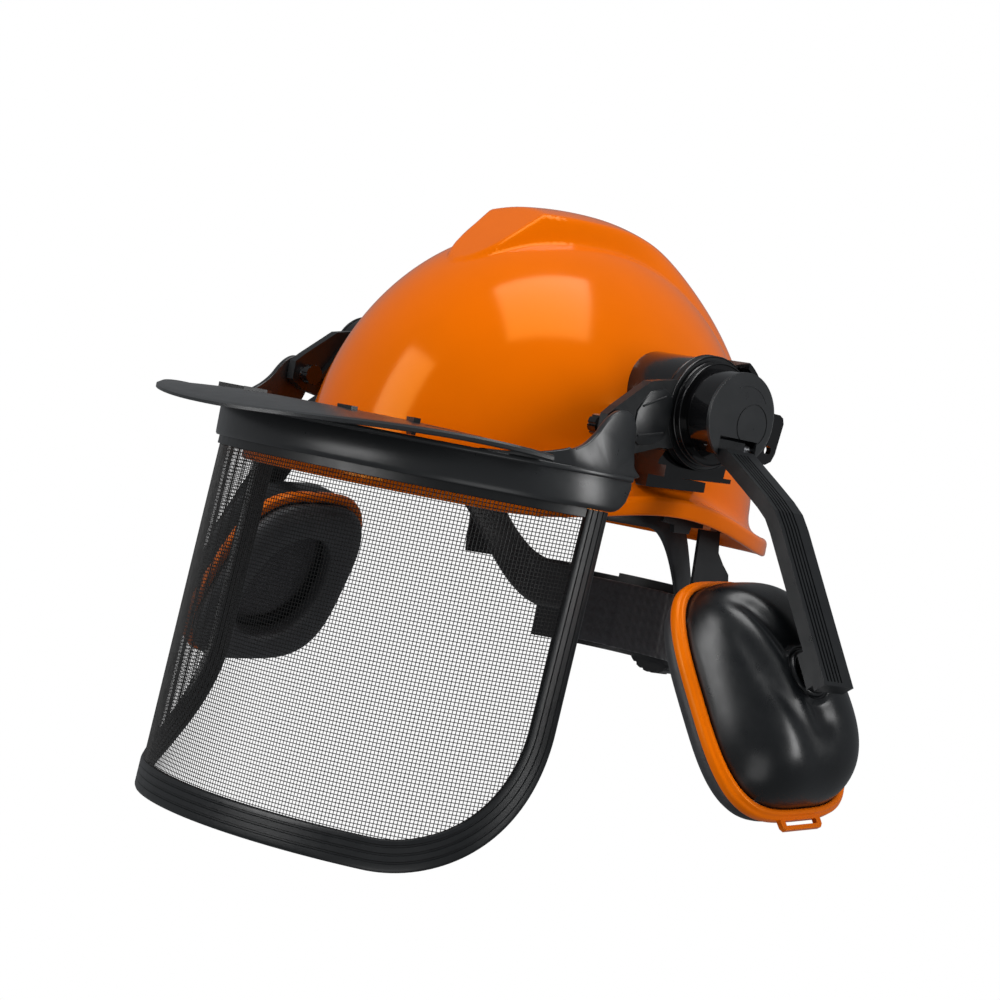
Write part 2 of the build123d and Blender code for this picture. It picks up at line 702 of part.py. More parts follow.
def harness_keys():
    """Keys that plug the suspension into the shell's rim sockets."""
    keys = []
    for k in range(4):
        ang = STRAP_ANGLE if k % 2 == 0 else -STRAP_ANGLE
        turn = ang + (180 if k > 1 else 0)
        key = block(97.8, 101.2, -11, 11, -9.5, 9)
        key += block(101.0, 112.6, -7, 7, -2.5, 1.0)
        keys.append(Rot(0, 0, turn) * key)
    tee = prism_x([(4, 0), (32, 0), (32, -8.5), (24, -9), (23, -12.4),
                   (12.5, -12.8), (12, -9), (4, -8.2)], 92.6, 95.6)
    tee += block(95.5, 101.0, 8, 28, -3.5, 0)
    keys.append(tee)
    keys.append(mirror(tee, about=Plane.YZ))
    return keys


def crown_strap(ang, lift):
    """Webbing arch across the crown, seen from above at the given angle."""
    line = []
    n = 40
    top = 97.0 + lift
    for i in range(n + 1):
        t = pi * i / n
        z = -2.0 + (top + 2.0) * sin(t) ** 0.82 if 0 < i < n else -2.0
        line.append((STRAP_REACH * cos(t), z))
    return Rot(0, 0, ang) * prism_y(thick_line(line, 0.65), -10, 10)


def crown_pad():
    cap = Pos(0, 0, 95.7 - 100) * (Sphere(100) - Sphere(96.4))
    return cap & rod_z(26, 80, 100, 0, 0)


def build():
    parts["shell"] = helmet_shell()
    both("hub_base", hub_base())
    both("hub_axle", hub_axle())
    both("hub_nut", hub_nut())
    both("visor_arm", visor_arm())
    both("click_washer", drum_detent())
    parts["visor_carrier"] = visor_carrier()
    parts["peak"] = peak_plate()
    parts["peak_clips"] = Compound(children=peak_clips())
    parts["visor_mesh"] = visor_mesh()
    parts["visor_top_strip"] = top_strip()
    parts["edge_binding"] = edge_binding()
    both("tilt_pin", tilt_pin())
    both("tilt_knob", tilt_knob())
    both("muff_drum", muff_drum())
    both("drum_cap", drum_cap())
    both("fold_pin", fold_pin())
    both("muff_arm", muff_arm())
    both("cup_carriage", cup_carriage())
    both("swivel", swivel())
    both("cup_shell", cup_shell())
    both("cup_ring", cup_ring())
    both("cup_backplate", cup_backplate())
    both("cup_foam", cup_foam())
    both("cup_cushion", cup_cushion())
    parts["headband"] = headband()
    parts["sweatband"] = sweatband()
    parts["nape_band"] = nape_band()
    parts["nape_pad"] = nape_pad()
    both("nape_hanger", nape_hanger())
    parts["harness_keys"] = Compound(children=harness_keys())
    parts["crown_strap_a"] = crown_strap(STRAP_ANGLE, 0)
    parts["crown_strap_b"] = crown_strap(-STRAP_ANGLE, 2.8)
    parts["crown_pad"] = crown_pad()
    parts["knob"] = knob_body()
    parts["pinion"] = pinion_wheel()
    parts["rack_left"] = rack_bar()
    parts["rack_right"] = Pos(0, 0, KNOB_Z) * Rot(0, 180, 0) * Pos(
        0, 0, -KNOB_Z) * rack_bar()


build()
os.makedirs("parts", exist_ok=True)
for name, shape in parts.items():
    export_step(shape, f"parts/{name}.step")
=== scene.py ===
"""Looks for the forestry helmet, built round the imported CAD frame. Metres."""

from math import cos, hypot, pi, radians, sin, sqrt

import bmesh
import bpy
import numpy as np
from mathutils import Matrix, Vector


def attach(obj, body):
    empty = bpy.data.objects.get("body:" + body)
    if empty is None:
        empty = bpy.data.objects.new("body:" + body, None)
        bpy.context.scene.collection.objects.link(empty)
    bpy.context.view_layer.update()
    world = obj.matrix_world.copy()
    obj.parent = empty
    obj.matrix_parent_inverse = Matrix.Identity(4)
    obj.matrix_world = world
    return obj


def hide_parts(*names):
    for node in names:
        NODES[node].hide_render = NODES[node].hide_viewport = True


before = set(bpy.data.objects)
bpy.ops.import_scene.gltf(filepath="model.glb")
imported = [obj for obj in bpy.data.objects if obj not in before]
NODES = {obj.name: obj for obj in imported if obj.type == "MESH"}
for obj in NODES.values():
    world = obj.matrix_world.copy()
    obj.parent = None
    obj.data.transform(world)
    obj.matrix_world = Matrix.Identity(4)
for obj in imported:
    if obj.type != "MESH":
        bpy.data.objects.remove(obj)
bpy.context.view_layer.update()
MM = 0.001

# ---------------------------------------------------------------- sizes (mm)
DOME = np.array([103.0, 123.5, 132.0])
DOME_Z = -5.2
RIDGE = np.array([112.0, 121.0, 141.0])
WALL = 2.6
RIM_HALF, RIM_LEN, RIM_Y = 117.5, 138.5, -7.5
RIM_POWER, RIM_POWER_BACK = 2.5, 2.1
RIM_LOW, RIM_ARCH, LIP = -17.2, 12.0, 9.6
ARCH_Y, ARCH_REACH = -7.0, 100.0
HUB_Y, HUB_Z = -5.6, 46.5
BAND_HALF, BAND_LEN, BAND_Y, BAND_POWER = 131.6, 94.9, -66.2, 1.95
BAND_TOP, BAND_H = 9.8, 17.7
BAND_TAIL, EAR_X = 9.4, 126.4
PEAK_OUT, PEAK_IN, PEAK_THICK = (135.0, 142.7), (125.8, 88.6), 2.4
SHEET_INSET, HEM = 4.9, 4.0
SHEET_DROP, SHEET_R, SHEET_TILT = 179.3, 74.5, 3.5
BIND_SIDE, BIND_LOW = 11.0, 14.0
WIRE_PITCH, WIRE_R = 1.8, 0.21
PIN_X, PIN_Z, OPEN = 138.0, 33.0, 34.1
CUP_U, CUP_Y, CUP_W, CUP_LEAN = -22.6, -5.0, -119.5, 7.0
CUP_HL, CUP_HW, CUP_DEEP, CUP_SKEW = 59.5, 44.5, 33.0, 0.1
BALL_U, BALL_Y, BALL_W = 6.6, -5.0, -121.0
STRAP_ANGLE, STRAP_REACH, STRAP_TOP = 52.0, 97.0, 97.0
HEAD_CY = 4.0
SIDES = ("left", "right")


# ---------------------------------------------------------------- mesh tools
def add_mesh(name, verts_mm, faces, smooth=True):
    mesh = bpy.data.meshes.new(name)
    mesh.from_pydata([tuple(c * MM for c in v) for v in verts_mm], [], faces)
    mesh.validate()
    bm = bmesh.new()
    bm.from_mesh(mesh)
    bmesh.ops.remove_doubles(bm, verts=bm.verts, dist=1e-6)
    bmesh.ops.recalc_face_normals(bm, faces=bm.faces)
    bm.to_mesh(mesh)
    bm.free()
    obj = bpy.data.objects.new(name, mesh)
    bpy.context.scene.collection.objects.link(obj)
    for poly in mesh.polygons:
        poly.use_smooth = smooth
    return obj


def grid_faces(rows, cols, wrap_rows=False, wrap_cols=False, skip=()):
    faces = []
    for i in range(rows if wrap_rows else rows - 1):
        for j in range(cols if wrap_cols else cols - 1):
            if (i, j) in skip:
                continue
            a, b = i * cols + j, i * cols + (j + 1) % cols
            c, d = ((i + 1) % rows) * cols + (j + 1) % cols, ((i + 1) % rows) * cols + j
            faces.append((a, b, c, d))
    return faces


def sweep(name, rings, closed_path=False):
    """Skin a list of closed sections with the same point count."""
    rows, cols = len(rings), len(rings[0])
    verts = [p for ring in rings for p in ring]
    faces = grid_faces(rows, cols, wrap_rows=closed_path, wrap_cols=True)
    if not closed_path:
        faces += [tuple(range(cols)), tuple(range((rows - 1) * cols, rows * cols))]
    return add_mesh(name, verts, faces)


def soften(obj, width, angle=32.0):
    mod = obj.modifiers.new("edges", "BEVEL")
    mod.width = width * MM
    mod.segments = 2
    mod.limit_method = "ANGLE"
    mod.angle_limit = radians(angle)
    mod.harden_normals = False
    mod.use_clamp_overlap = True
    return obj


def flat_shade_by_angle(obj, angle=35.0):
    """Smooth shading with hard edges where faces meet sharply."""
    mesh = obj.data
    for poly in mesh.polygons:
        poly.use_smooth = True
    mesh.set_sharp_from_angle(angle=radians(angle))


def mirrored(obj, name):
    mesh = obj.data.copy()
    mesh.transform(Matrix.Scale(-1, 4, (1, 0, 0)))
    mesh.flip_normals()
    twin = bpy.data.objects.new(name, mesh)
    bpy.context.scene.collection.objects.link(twin)
    for mod in obj.modifiers:
        copy = twin.modifiers.new(mod.name, mod.type)
        for key in ("width", "segments", "limit_method", "angle_limit", "levels",
                    "render_levels"):
            if hasattr(mod, key):
                setattr(copy, key, getattr(mod, key))
    return twin


def fit_out(obj, body, material, slot, *nodes):
    obj.data.materials.clear()
    obj.data.materials.append(material)
    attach(obj, body)
    if nodes:
        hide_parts(*nodes)
    return obj


def pair(obj, stem, body, material, slot, *nodes):
    """Left piece and its mirror image, each on its own side's body."""
    twin = mirrored(obj, stem + "_right")
    for piece, side in zip((obj, twin), SIDES):
        fit_out(piece, f"{body}_{side}", material, slot,
                *[f"{n}_{side}" for n in nodes])
    return obj, twin


def apply_modifiers(obj):
    deps = bpy.context.evaluated_depsgraph_get()
    mesh = bpy.data.meshes.new_from_object(obj.evaluated_get(deps))
    obj.modifiers.clear()
    obj.data = mesh
    for poly in mesh.polygons:
        poly.use_smooth = True


def inflate(obj, pressure, cap_mm, frames):
    """Blow a closed skin up with cloth, and cap how far it may move."""
    before = np.array([v.co[:] for v in obj.data.vertices])
    mod = obj.modifiers.new("cloth", "CLOTH")
    cloth_set = mod.settings
    cloth_set.use_pressure = True
    cloth_set.uniform_pressure_force = pressure
    cloth_set.quality = 6
    cloth_set.mass = 0.2
    cloth_set.tension_stiffness = 30
    cloth_set.compression_stiffness = 30
    cloth_set.bending_stiffness = 2.0
    cloth_set.effector_weights.gravity = 0.0
    mod.point_cache.frame_start = 1
    mod.point_cache.frame_end = frames
    scene = bpy.context.scene
    for f in range(1, frames + 1):
        scene.frame_set(f)
    deps = bpy.context.evaluated_depsgraph_get()
    mesh = bpy.data.meshes.new_from_object(obj.evaluated_get(deps))
    after = np.array([v.co[:] for v in mesh.vertices])
    obj.modifiers.clear()
    scene.frame_set(1)
    move = after - before
    size = np.linalg.norm(move, axis=1, keepdims=True)
    move *= np.minimum(1.0, cap_mm * MM / np.maximum(size, 1e-12))
    obj.data.vertices.foreach_set("co", (before + move).ravel())
    obj.data.update()


def smoothstep(x):
    x = np.clip(x, 0.0, 1.0)
    return x * x * (3 - 2 * x)


# ---------------------------------------------------------------- materials
def node_material(name):
    mat = bpy.data.materials.new(name)
    mat.use_nodes = True
    tree = mat.node_tree
    shader = tree.nodes["Principled BSDF"]
    coords = tree.nodes.new("ShaderNodeTexCoord")
    return mat, tree, shader, coords.outputs["Object"]


def noise_node(tree, coords, size_mm, detail=3.0, rough=0.55):
    tex = tree.nodes.new("ShaderNodeTexNoise")
    tex.inputs["Scale"].default_value = 1000.0 / size_mm
    tex.inputs["Detail"].default_value = detail
    tex.inputs["Roughness"].default_value = rough
    tree.links.new(coords, tex.inputs["Vector"])
    return tex.outputs["Fac"]


def spread(tree, value, low, high):
    """Map the middle of a noise's range on low to high."""
    node = tree.nodes.new("ShaderNodeMapRange")
    for key, v in (("From Min", 0.3), ("From Max", 0.7), ("To Min", low),
                   ("To Max", high)):
        node.inputs[key].default_value = v
    tree.links.new(value, node.inputs["Value"])
    return node.outputs["Result"]


def colours(tree, value, dark, light):
    ramp = tree.nodes.new("ShaderNodeValToRGB")
    ramp.color_ramp.elements[0].position = 0.35
    ramp.color_ramp.elements[1].position = 0.65
    ramp.color_ramp.elements[0].color = (*dark, 1)
    ramp.color_ramp.elements[1].color = (*light, 1)
    tree.links.new(value, ramp.inputs["Fac"])
    return ramp.outputs["Color"]


def bump(tree, height, depth_mm, under=None):
    node = tree.nodes.new("ShaderNodeBump")
    node.inputs["Strength"].default_value = 1.0
    node.inputs["Distance"].default_value = depth_mm * MM
    tree.links.new(height, node.inputs["Height"])
    if under is not None:
        tree.links.new(under, node.inputs["Normal"])
    return node.outputs["Normal"]


def scale_colour(rgb, k):
    return tuple(min(1.0, c * k) for c in rgb)


def plastic(name, rgb, rough, spec=0.5, coat=0.0, grain_mm=0.5, grain_depth=0.01,
            mottle=0.07, wave_mm=25.0, wave_depth=0.03, scratch=0.05,
            tint=(1.0, 1.0, 1.0)):
    """Moulded plastic: faint mottling, mould texture, slow surface wave."""
    mat, tree, shader, coords = node_material(name)
    low = noise_node(tree, coords, 38.0, 2.0)
    tree.links.new(colours(tree, low, scale_colour(rgb, 1 - mottle),
                           scale_colour(rgb, 1 + mottle)),
                   shader.inputs["Base Color"])
    fine = noise_node(tree, coords, grain_mm, 2.0)
    smear = noise_node(tree, coords, 9.0, 4.0, 0.7)
    tree.links.new(spread(tree, smear, max(0.02, rough - scratch), rough + scratch),
                   shader.inputs["Roughness"])
    wave = bump(tree, noise_node(tree, coords, wave_mm, 1.0), wave_depth)
    tree.links.new(bump(tree, fine, grain_depth, under=wave),
                   shader.inputs["Normal"])
    shader.inputs["Specular IOR Level"].default_value = spec
    shader.inputs["Specular Tint"].default_value = (*tint, 1)
    shader.inputs["Coat Weight"].default_value = coat
    shader.inputs["Coat Roughness"].default_value = 0.04
    return mat


def steel(name):
    mat, tree, shader, coords = node_material(name)
    shader.inputs["Metallic"].default_value = 1.0
    brushed = noise_node(tree, coords, 0.8, 4.0)
    tree.links.new(colours(tree, brushed, (0.42, 0.43, 0.45), (0.6, 0.61, 0.63)),
                   shader.inputs["Base Color"])
    tree.links.new(spread(tree, brushed, 0.22, 0.42), shader.inputs["Roughness"])
    tree.links.new(bump(tree, brushed, 0.01), shader.inputs["Normal"])
    return mat


def stripes(tree, coords, axis, pitch_mm):
    tex = tree.nodes.new("ShaderNodeTexWave")
    tex.wave_type = "BANDS"
    tex.bands_direction = axis
    tex.wave_profile = "SIN"
    tex.inputs["Scale"].default_value = 1000.0 / pitch_mm / (2 * pi) * pi / 10.0
    tree.links.new(coords, tex.inputs["Vector"])
    return tex.outputs["Fac"]


def cloth(name, rgb, pitch_mm, depth_mm):
    """Woven tape or towelling: two crossed bands of thread and loose fuzz."""
    mat, tree, shader, coords = node_material(name)
    warp = stripes(tree, coords, "X", pitch_mm)
    weft = stripes(tree, coords, "Z", pitch_mm)
    both = tree.nodes.new("ShaderNodeMath")
    both.operation = "MULTIPLY"
    tree.links.new(warp, both.inputs[0])
    tree.links.new(weft, both.inputs[1])
    fuzz = noise_node(tree, coords, pitch_mm * 1.6, 4.0)
    tree.links.new(colours(tree, fuzz, scale_colour(rgb, 0.75),
                           scale_colour(rgb, 1.3)), shader.inputs["Base Color"])
    tree.links.new(spread(tree, fuzz, 0.82, 0.96),
                   shader.inputs["Roughness"])
    woven = bump(tree, both.outputs[0], depth_mm)
    tree.links.new(bump(tree, fuzz, depth_mm * 0.6, under=woven),
                   shader.inputs["Normal"])
    shader.inputs["Sheen Weight"].default_value = 0.3
    shader.inputs["Sheen Roughness"].default_value = 0.5
    return mat


def foil(name, rgb):
    """Soft vinyl foil over foam: pebbled grain and fine creases, with painted shade
    darkening the low parts of the creases.
    """
    mat, tree, shader, coords = node_material(name)
    cells = tree.nodes.new("ShaderNodeTexVoronoi")
    cells.inputs["Scale"].default_value = 1000.0 / 1.1
    tree.links.new(coords, cells.inputs["Vector"])
    creases_and_shade = noise_node(tree, coords, 7.0, 5.0, 0.65)
    # painted shade: the colour follows the crease relief and turns darker where the
    # creases sink
    tree.links.new(colours(tree, creases_and_shade, scale_colour(rgb, 0.8),
                           scale_colour(rgb, 1.25)), shader.inputs["Base Color"])
    tree.links.new(spread(tree, creases_and_shade, 0.42, 0.6),
                   shader.inputs["Roughness"])
    soft = bump(tree, creases_and_shade, 0.25)
    tree.links.new(bump(tree, cells.outputs["Distance"], 0.05, under=soft),
                   shader.inputs["Normal"])
    return mat


def foam(name, rgb):
    mat, tree, shader, coords = node_material(name)
    cells = tree.nodes.new("ShaderNodeTexVoronoi")
    cells.inputs["Scale"].default_value = 1000.0 / 0.8
    tree.links.new(coords, cells.inputs["Vector"])
    # painted shade: the cell pits, which the bump below sinks, are coloured darker than
    # the cell walls
    tree.links.new(colours(tree, cells.outputs["Distance"], scale_colour(rgb, 0.5),
                           scale_colour(rgb, 1.2)), shader.inputs["Base Color"])
    tree.links.new(spread(tree, noise_node(tree, coords, 3.0), 0.85, 1.0),
                   shader.inputs["Roughness"])
    tree.links.new(bump(tree, cells.outputs["Distance"], 0.3),
                   shader.inputs["Normal"])
    return mat


ORANGE = plastic("shell_orange", (0.82, 0.15, 0.0003), 0.13,
                 grain_mm=9, grain_depth=0.004, mottle=0.02, wave_mm=40,
                 wave_depth=0.02, scratch=0.02, tint=(1.0, 0.42, 0.03))
RING_ORANGE = plastic("ring_orange", (0.82, 0.155, 0.0003), 0.3,
                      grain_mm=0.5, grain_depth=0.008, mottle=0.04,
                      tint=(1.0, 0.5, 0.1))
GLOSS = plastic("gloss_black", (0.0035, 0.0035, 0.004), 0.13, coat=0.3,
                grain_mm=0.8, grain_depth=0.004)
SATIN = plastic("satin_black", (0.007, 0.008, 0.009), 0.32,
                grain_mm=0.9, grain_depth=0.006)
GREY = plastic("satin_grey", (0.019, 0.0205, 0.022), 0.3, grain_mm=1.2,
               grain_depth=0.003, mottle=0.04, scratch=0.03)
CUP = plastic("cup_black", (0.0045, 0.0055, 0.0065), 0.31, grain_mm=1.0,
              grain_depth=0.005, mottle=0.1)
BINDING = plastic("binding_black", (0.006, 0.007, 0.008), 0.36,
                  grain_mm=0.5, grain_depth=0.015)
WIRE = plastic("mesh_black", (0.01, 0.01, 0.01), 0.5, spec=0.4, grain_mm=0.3,
               grain_depth=0.01)
HARNESS = plastic("harness_black", (0.009, 0.0095, 0.011), 0.38, spec=0.45,
                  grain_mm=0.4, grain_depth=0.02)
WEBBING = cloth("webbing", (0.02, 0.02, 0.023), 1.4, 0.25)
TOWEL = cloth("sweat_cloth", (0.03, 0.03, 0.034), 0.9, 0.3)
CUSHION = foil("cushion_grey", (0.03, 0.031, 0.034))
FOAM = foam("foam_grey", (0.05, 0.05, 0.055))
STEEL = steel("steel")


# ---------------------------------------------------------------- helmet shell
def rim_radius(theta):
    """Distance from the Z axis to the rim outline in plan direction theta."""
    lo, hi = 60.0, 200.0
    for _ in range(40):
        mid = (lo + hi) / 2
        power = RIM_POWER_BACK if mid * sin(theta) > RIM_Y else RIM_POWER
        f = (abs(mid * cos(theta)) / RIM_HALF) ** power + (
            abs(mid * sin(theta) - RIM_Y) / RIM_LEN) ** power
        lo, hi = (mid, hi) if f < 1 else (lo, mid)
    return lo


def dome_radius(theta, z, off=0.0):
    a, b, c = DOME - off
    k = 1 - ((z - DOME_Z) / c) ** 2
    return sqrt(max(k, 0.0)) / sqrt((cos(theta) / a) ** 2 + (sin(theta) / b) ** 2)


def bezier(p0, p1, p2, p3, count):
    pts = []
    for i in range(count):
        t = i / count
        k = 1 - t
        pts.append(tuple(k ** 3 * a + 3 * k * k * t * b + 3 * k * t * t * c
                         + t ** 3 * d for a, b, c, d in zip(p0, p1, p2, p3)))
    return pts


TONGUE = [(0, -77.5), (6, -76), (11.5, -72), (16.5, -65), (20, -56), (23, -47),
          (28, -36), (32.5, -21), (36, -3), (39, 14), (43, 30), (49, 45), (57, 61),
          (66, 80), (74, 100), (80, 120), (84, 140)]
FACE_Y, FACE_Z, FACE_SLOPE = -78.0, 98.2, 0.87
RIDGE_FRONT = np.array([112.0, 175.0, 141.0])


def tongue_distance(pts):
    """Signed distance in plan inside the raised crown's outline."""
    ctrl = np.array(TONGUE, float)
    t = np.linspace(0, len(ctrl) - 1, 400)
    line = np.stack([np.interp(t, range(len(ctrl)), ctrl[:, k]) for k in (0, 1)], 1)
    for _ in range(120):
        line[1:-1] = (line[:-2] + 2 * line[1:-1] + line[2:]) / 4
    x, y = np.abs(pts[:, 0]), pts[:, 1]
    best = np.full(len(pts), 1e9)
    for q in line:
        best = np.minimum(best, np.hypot(x - q[0], y - q[1]))
    width = np.interp(y, line[:, 1], line[:, 0], left=-1.0)
    return np.where(x < width, best, -best)


def soft_min(a, b, k):
    h = np.clip(0.5 + 0.5 * (b - a) / k, 0, 1)
    return b * (1 - h) + a * h - k * h * (1 - h)


def crown_lift(verts):
    """Push the outer crown out to the raised, flat-fronted tongue."""
    v = np.array(verts, float)
    d = tongue_distance(v)
    rel = v - np.array([0, 0, DOME_Z])
    size = np.linalg.norm(rel, axis=1, keepdims=True)
    unit = rel / np.maximum(size, 1e-9)
    r_dome = 1 / np.linalg.norm(unit / DOME, axis=1)
    axes = np.where(v[:, 1:2] < 0, RIDGE_FRONT, RIDGE)
    r_ridge = 1 / np.linalg.norm(unit / axes, axis=1)
    fall = unit[:, 2] - FACE_SLOPE * unit[:, 1]
    r_face = (FACE_Z - DOME_Z - FACE_SLOPE * FACE_Y) / np.maximum(fall, 1e-3)
    back = smoothstep((v[:, 1] + 30) / 130)
    steep = 1.5 * (1 - back) ** 2 + 0.16
    side = np.maximum(d, 0) * steep
    gain = soft_min(r_ridge - r_dome, r_face - r_dome, 0.8)
    gain = soft_min(gain, side, 1.0 + 5.0 * back)
    gain = np.maximum(gain, 0) * smoothstep((v[:, 2] - 28) / 30)
    gain = np.where(d > 0, gain, 0)
    return v + unit * gain[:, None]


def arch_z(y):
    share = min(1.0, abs(y - ARCH_Y) / ARCH_REACH)
    return RIM_LOW + RIM_ARCH * (1 + cos(pi * share)) / 2


def shell_profile(theta):
    """(radius, height) from crown to lip, round the lip and back inside."""
    fine, steps = 104, 24
    r_rim = rim_radius(theta)
    low = arch_z(r_rim * sin(theta))
    top = low + LIP
    brim = r_rim - dome_radius(theta, top)
    rise = 7.0 + 0.22 * brim
    z_start = top + rise
    outer = []
    for i in range(fine):
        a = pi / 2 * (i / fine)
        z_span = DOME[2] - (z_start - DOME_Z)
        z = DOME_Z + DOME[2] - z_span * (1 - cos(a))
        outer.append((dome_radius(theta, z), z))
    slope = dome_radius(theta, z_start - 1) - dome_radius(theta, z_start)
    r0 = dome_radius(theta, z_start)
    flare = bezier((r0, z_start), (r0 + slope * rise * 0.7 + 0.4,
                                   top + rise * 0.22),
                   (r_rim - brim * 0.7, top + 1.1), (r_rim - 3.6, top - 0.35), 16)
    lip = []
    for i in range(7):
        a = pi / 2 * i / 6
        lip.append((r_rim - 3.4 + 3.4 * sin(a), top - 3.8 + 3.4 * cos(a)))
    lip.append((r_rim, low + 3.4))
    for i in range(7):
        a = pi * i / 6
        lip.append((r_rim - 1.2 + 1.2 * cos(a), low + 1.2 - 1.2 * sin(a)))
    inner = [(r_rim - 2.5, low + 3.0), (r_rim - 3.0, top - 3.6),
             (r_rim - brim * 0.55, top - 2.6)]
    zi = top - 1.0
    inner.append((dome_radius(theta, zi, WALL) + 1.0, zi))
    for i in range(steps + 1):
        a = pi / 2 * (i / steps)
        z0 = zi + 3.0
        z = z0 + (DOME_Z + DOME[2] - WALL - z0) * sin(a)
        inner.append((dome_radius(theta, z, WALL), z))
    return outer, flare, lip, inner


def build_shell():
    spokes = 384
    verts, n_outer = [], None
    for k in range(spokes):
        theta = 2 * pi * k / spokes
        outer, flare, lip, inner = shell_profile(theta)
        ring = outer + flare + lip + inner
        n_outer, rows = len(outer) + len(flare), len(ring)
        verts += [(r * cos(theta), r * sin(theta), z) for r, z in ring]
    v = np.array(verts)
    mask = np.zeros(len(v), bool).reshape(spokes, rows)
    mask[:, :n_outer] = True
    mask = mask.ravel()
    v[mask] = crown_lift(v[mask])
    faces = []
    for k in range(spokes):
        n = (k + 1) % spokes
        for j in range(rows - 1):
            faces.append((k * rows + j, n * rows + j, n * rows + j + 1,
                          k * rows + j + 1))
    shell = add_mesh("helmet_shell", v.tolist(), faces)
    return fit_out(shell, "shell", ORANGE, "shell_orange", "shell")


build_shell()


# ---------------------------------------------------------------- visor band
def band_curve(inset, t):
    a, b = BAND_HALF - inset, BAND_LEN - inset
    c, s = cos(t), sin(t)
    return (a * abs(c) ** (2 / BAND_POWER) * (1 if c > 0 else -1),
            BAND_Y - b * abs(s) ** (2 / BAND_POWER))


def band_stations():
    """Angles along the band at even spacing, with the distance to the end."""
    count = 180
    fine = [pi * i / 2000 for i in range(2001)]
    pts = [band_curve(0, t) for t in fine]
    run = [0.0]
    for p, q in zip(pts, pts[1:]):
        run.append(run[-1] + hypot(q[0] - p[0], q[1] - p[1]))
    return [(float(np.interp(run[-1] * i / count, run, fine)),
             min(run[-1] * i / count, run[-1] * (1 - i / count)))
            for i in range(count + 1)]


def carrier_line():
    """Plan points and outward normals of the band, with its straight tails."""
    line = []
    for i in range(7):
        back = BAND_TAIL * (1 - i / 6)
        line.append(((BAND_HALF, BAND_Y + back), (1.0, 0.0), BAND_TAIL - back))
    for t, end in band_stations()[1:-1]:
        a, b = band_curve(0, t - 1e-4), band_curve(0, t + 1e-4)
        tx, ty = b[0] - a[0], b[1] - a[1]
        m = hypot(tx, ty)
        line.append((band_curve(0, t), (-ty / m, tx / m), end + BAND_TAIL))
    line += [((-x, y), (-nx, ny), e) for (x, y), (nx, ny), e in line[6::-1]]
    out = []
    for p, n, e in line:
        flip = 1 if n[0] * p[0] + n[1] * (p[1] - BAND_Y) >= 0 else -1
        out.append((p, (n[0] * flip, n[1] * flip), e))
    return out


def build_carrier():
    low = BAND_TOP - BAND_H
    corner = 11.0
    rings = []
    for (px, py), (nx, ny), end in carrier_line():
        lift = 0.0
        if end < corner:
            lift = corner - sqrt(max(0.0, corner ** 2 - (corner - end) ** 2))
        z0 = min(low + lift, BAND_TOP - 6.0)
        profile = [(0.9, z0 + 0.8), (0.8, z0 + 2.5), (0.8, BAND_TOP - 3.4),
                   (1.15, BAND_TOP - 2.9), (1.15, BAND_TOP - 2.5),
                   (0.2, BAND_TOP - 2.3), (0.0, BAND_TOP - 2.0),
                   (0.0, BAND_TOP - 0.5), (0.4, BAND_TOP), (5.6, BAND_TOP),
                   (6.2, BAND_TOP - 0.5), (6.2, BAND_TOP - 1.8),
                   (5.6, BAND_TOP - 2.3), (3.0, BAND_TOP - 2.6),
                   (2.7, z0 + 0.8), (2.2, z0), (1.4, z0)]
        rings.append([(px - nx * d, py - ny * d, z) for d, z in profile])
    band = sweep("visor_band", rings)
    flat_shade_by_angle(band, 50)
    return fit_out(band, "visor", GREY, "satin_black", "visor_carrier")


def smooth_loop(points):
    """Closed Catmull-Rom loop through (y, z) points."""
    out, n, per = [], len(points), 8
    for i in range(n):
        p = [np.array(points[(i + k) % n], float) for k in (-1, 0, 1, 2)]
        for j in range(per):
            t = j / per
            out.append(0.5 * (2 * p[1] + (p[2] - p[0]) * t
                              + (2 * p[0] - 5 * p[1] + 4 * p[2] - p[3]) * t * t
                              + (3 * p[1] - p[0] - 3 * p[2] + p[3]) * t ** 3))
    return out


def plate_x(name, outline, x_of, thick, rim=0.7):
    """Plate standing across X, outer face at x_of(y, z), edges rounded."""
    loop = [np.array(p, float) for p in outline]
    mid = sum(loop) / len(loop)
    rings = []
    for depth, shrink in ((0.0, rim), (rim * 0.3, rim * 0.3), (rim, 0.0),
                          (thick - rim, 0.0), (thick - rim * 0.3, rim * 0.3),
                          (thick, rim)):
        ring = []
        for i, p in enumerate(loop):
            a, b = loop[i - 1], loop[(i + 1) % len(loop)]
            tangent = (b - a) / max(1e-9, np.linalg.norm(b - a))
            normal = np.array([-tangent[1], tangent[0]])
            if np.dot(normal, mid - p) < 0:
                normal = -normal
            q = p + normal * shrink
            ring.append((x_of(*p) - depth, q[0], q[1]))
        rings.append(ring)
    obj = sweep(name, rings)
    bm = bmesh.new()
    bm.from_mesh(obj.data)
    bmesh.ops.triangulate(bm, faces=[f for f in bm.faces if len(f.verts) > 4])
    bm.to_mesh(obj.data)
    bm.free()
    flat_shade_by_angle(obj, 45)
    return obj


def ear_outer_x(y, z):
    """Ear follows the band low down and is flat up at the pivot."""
    plan = BAND_HALF - 0.9
    share = max(0.0, 1 - (abs(min(0.0, y - BAND_Y)) / (BAND_LEN - 0.9)) ** BAND_POWER)
    on_band = plan * share ** (1 / BAND_POWER)
    up = float(smoothstep((z - BAND_TOP) / 16.0))
    return on_band * (1 - up) + min(on_band + 2.0, EAR_X) * up


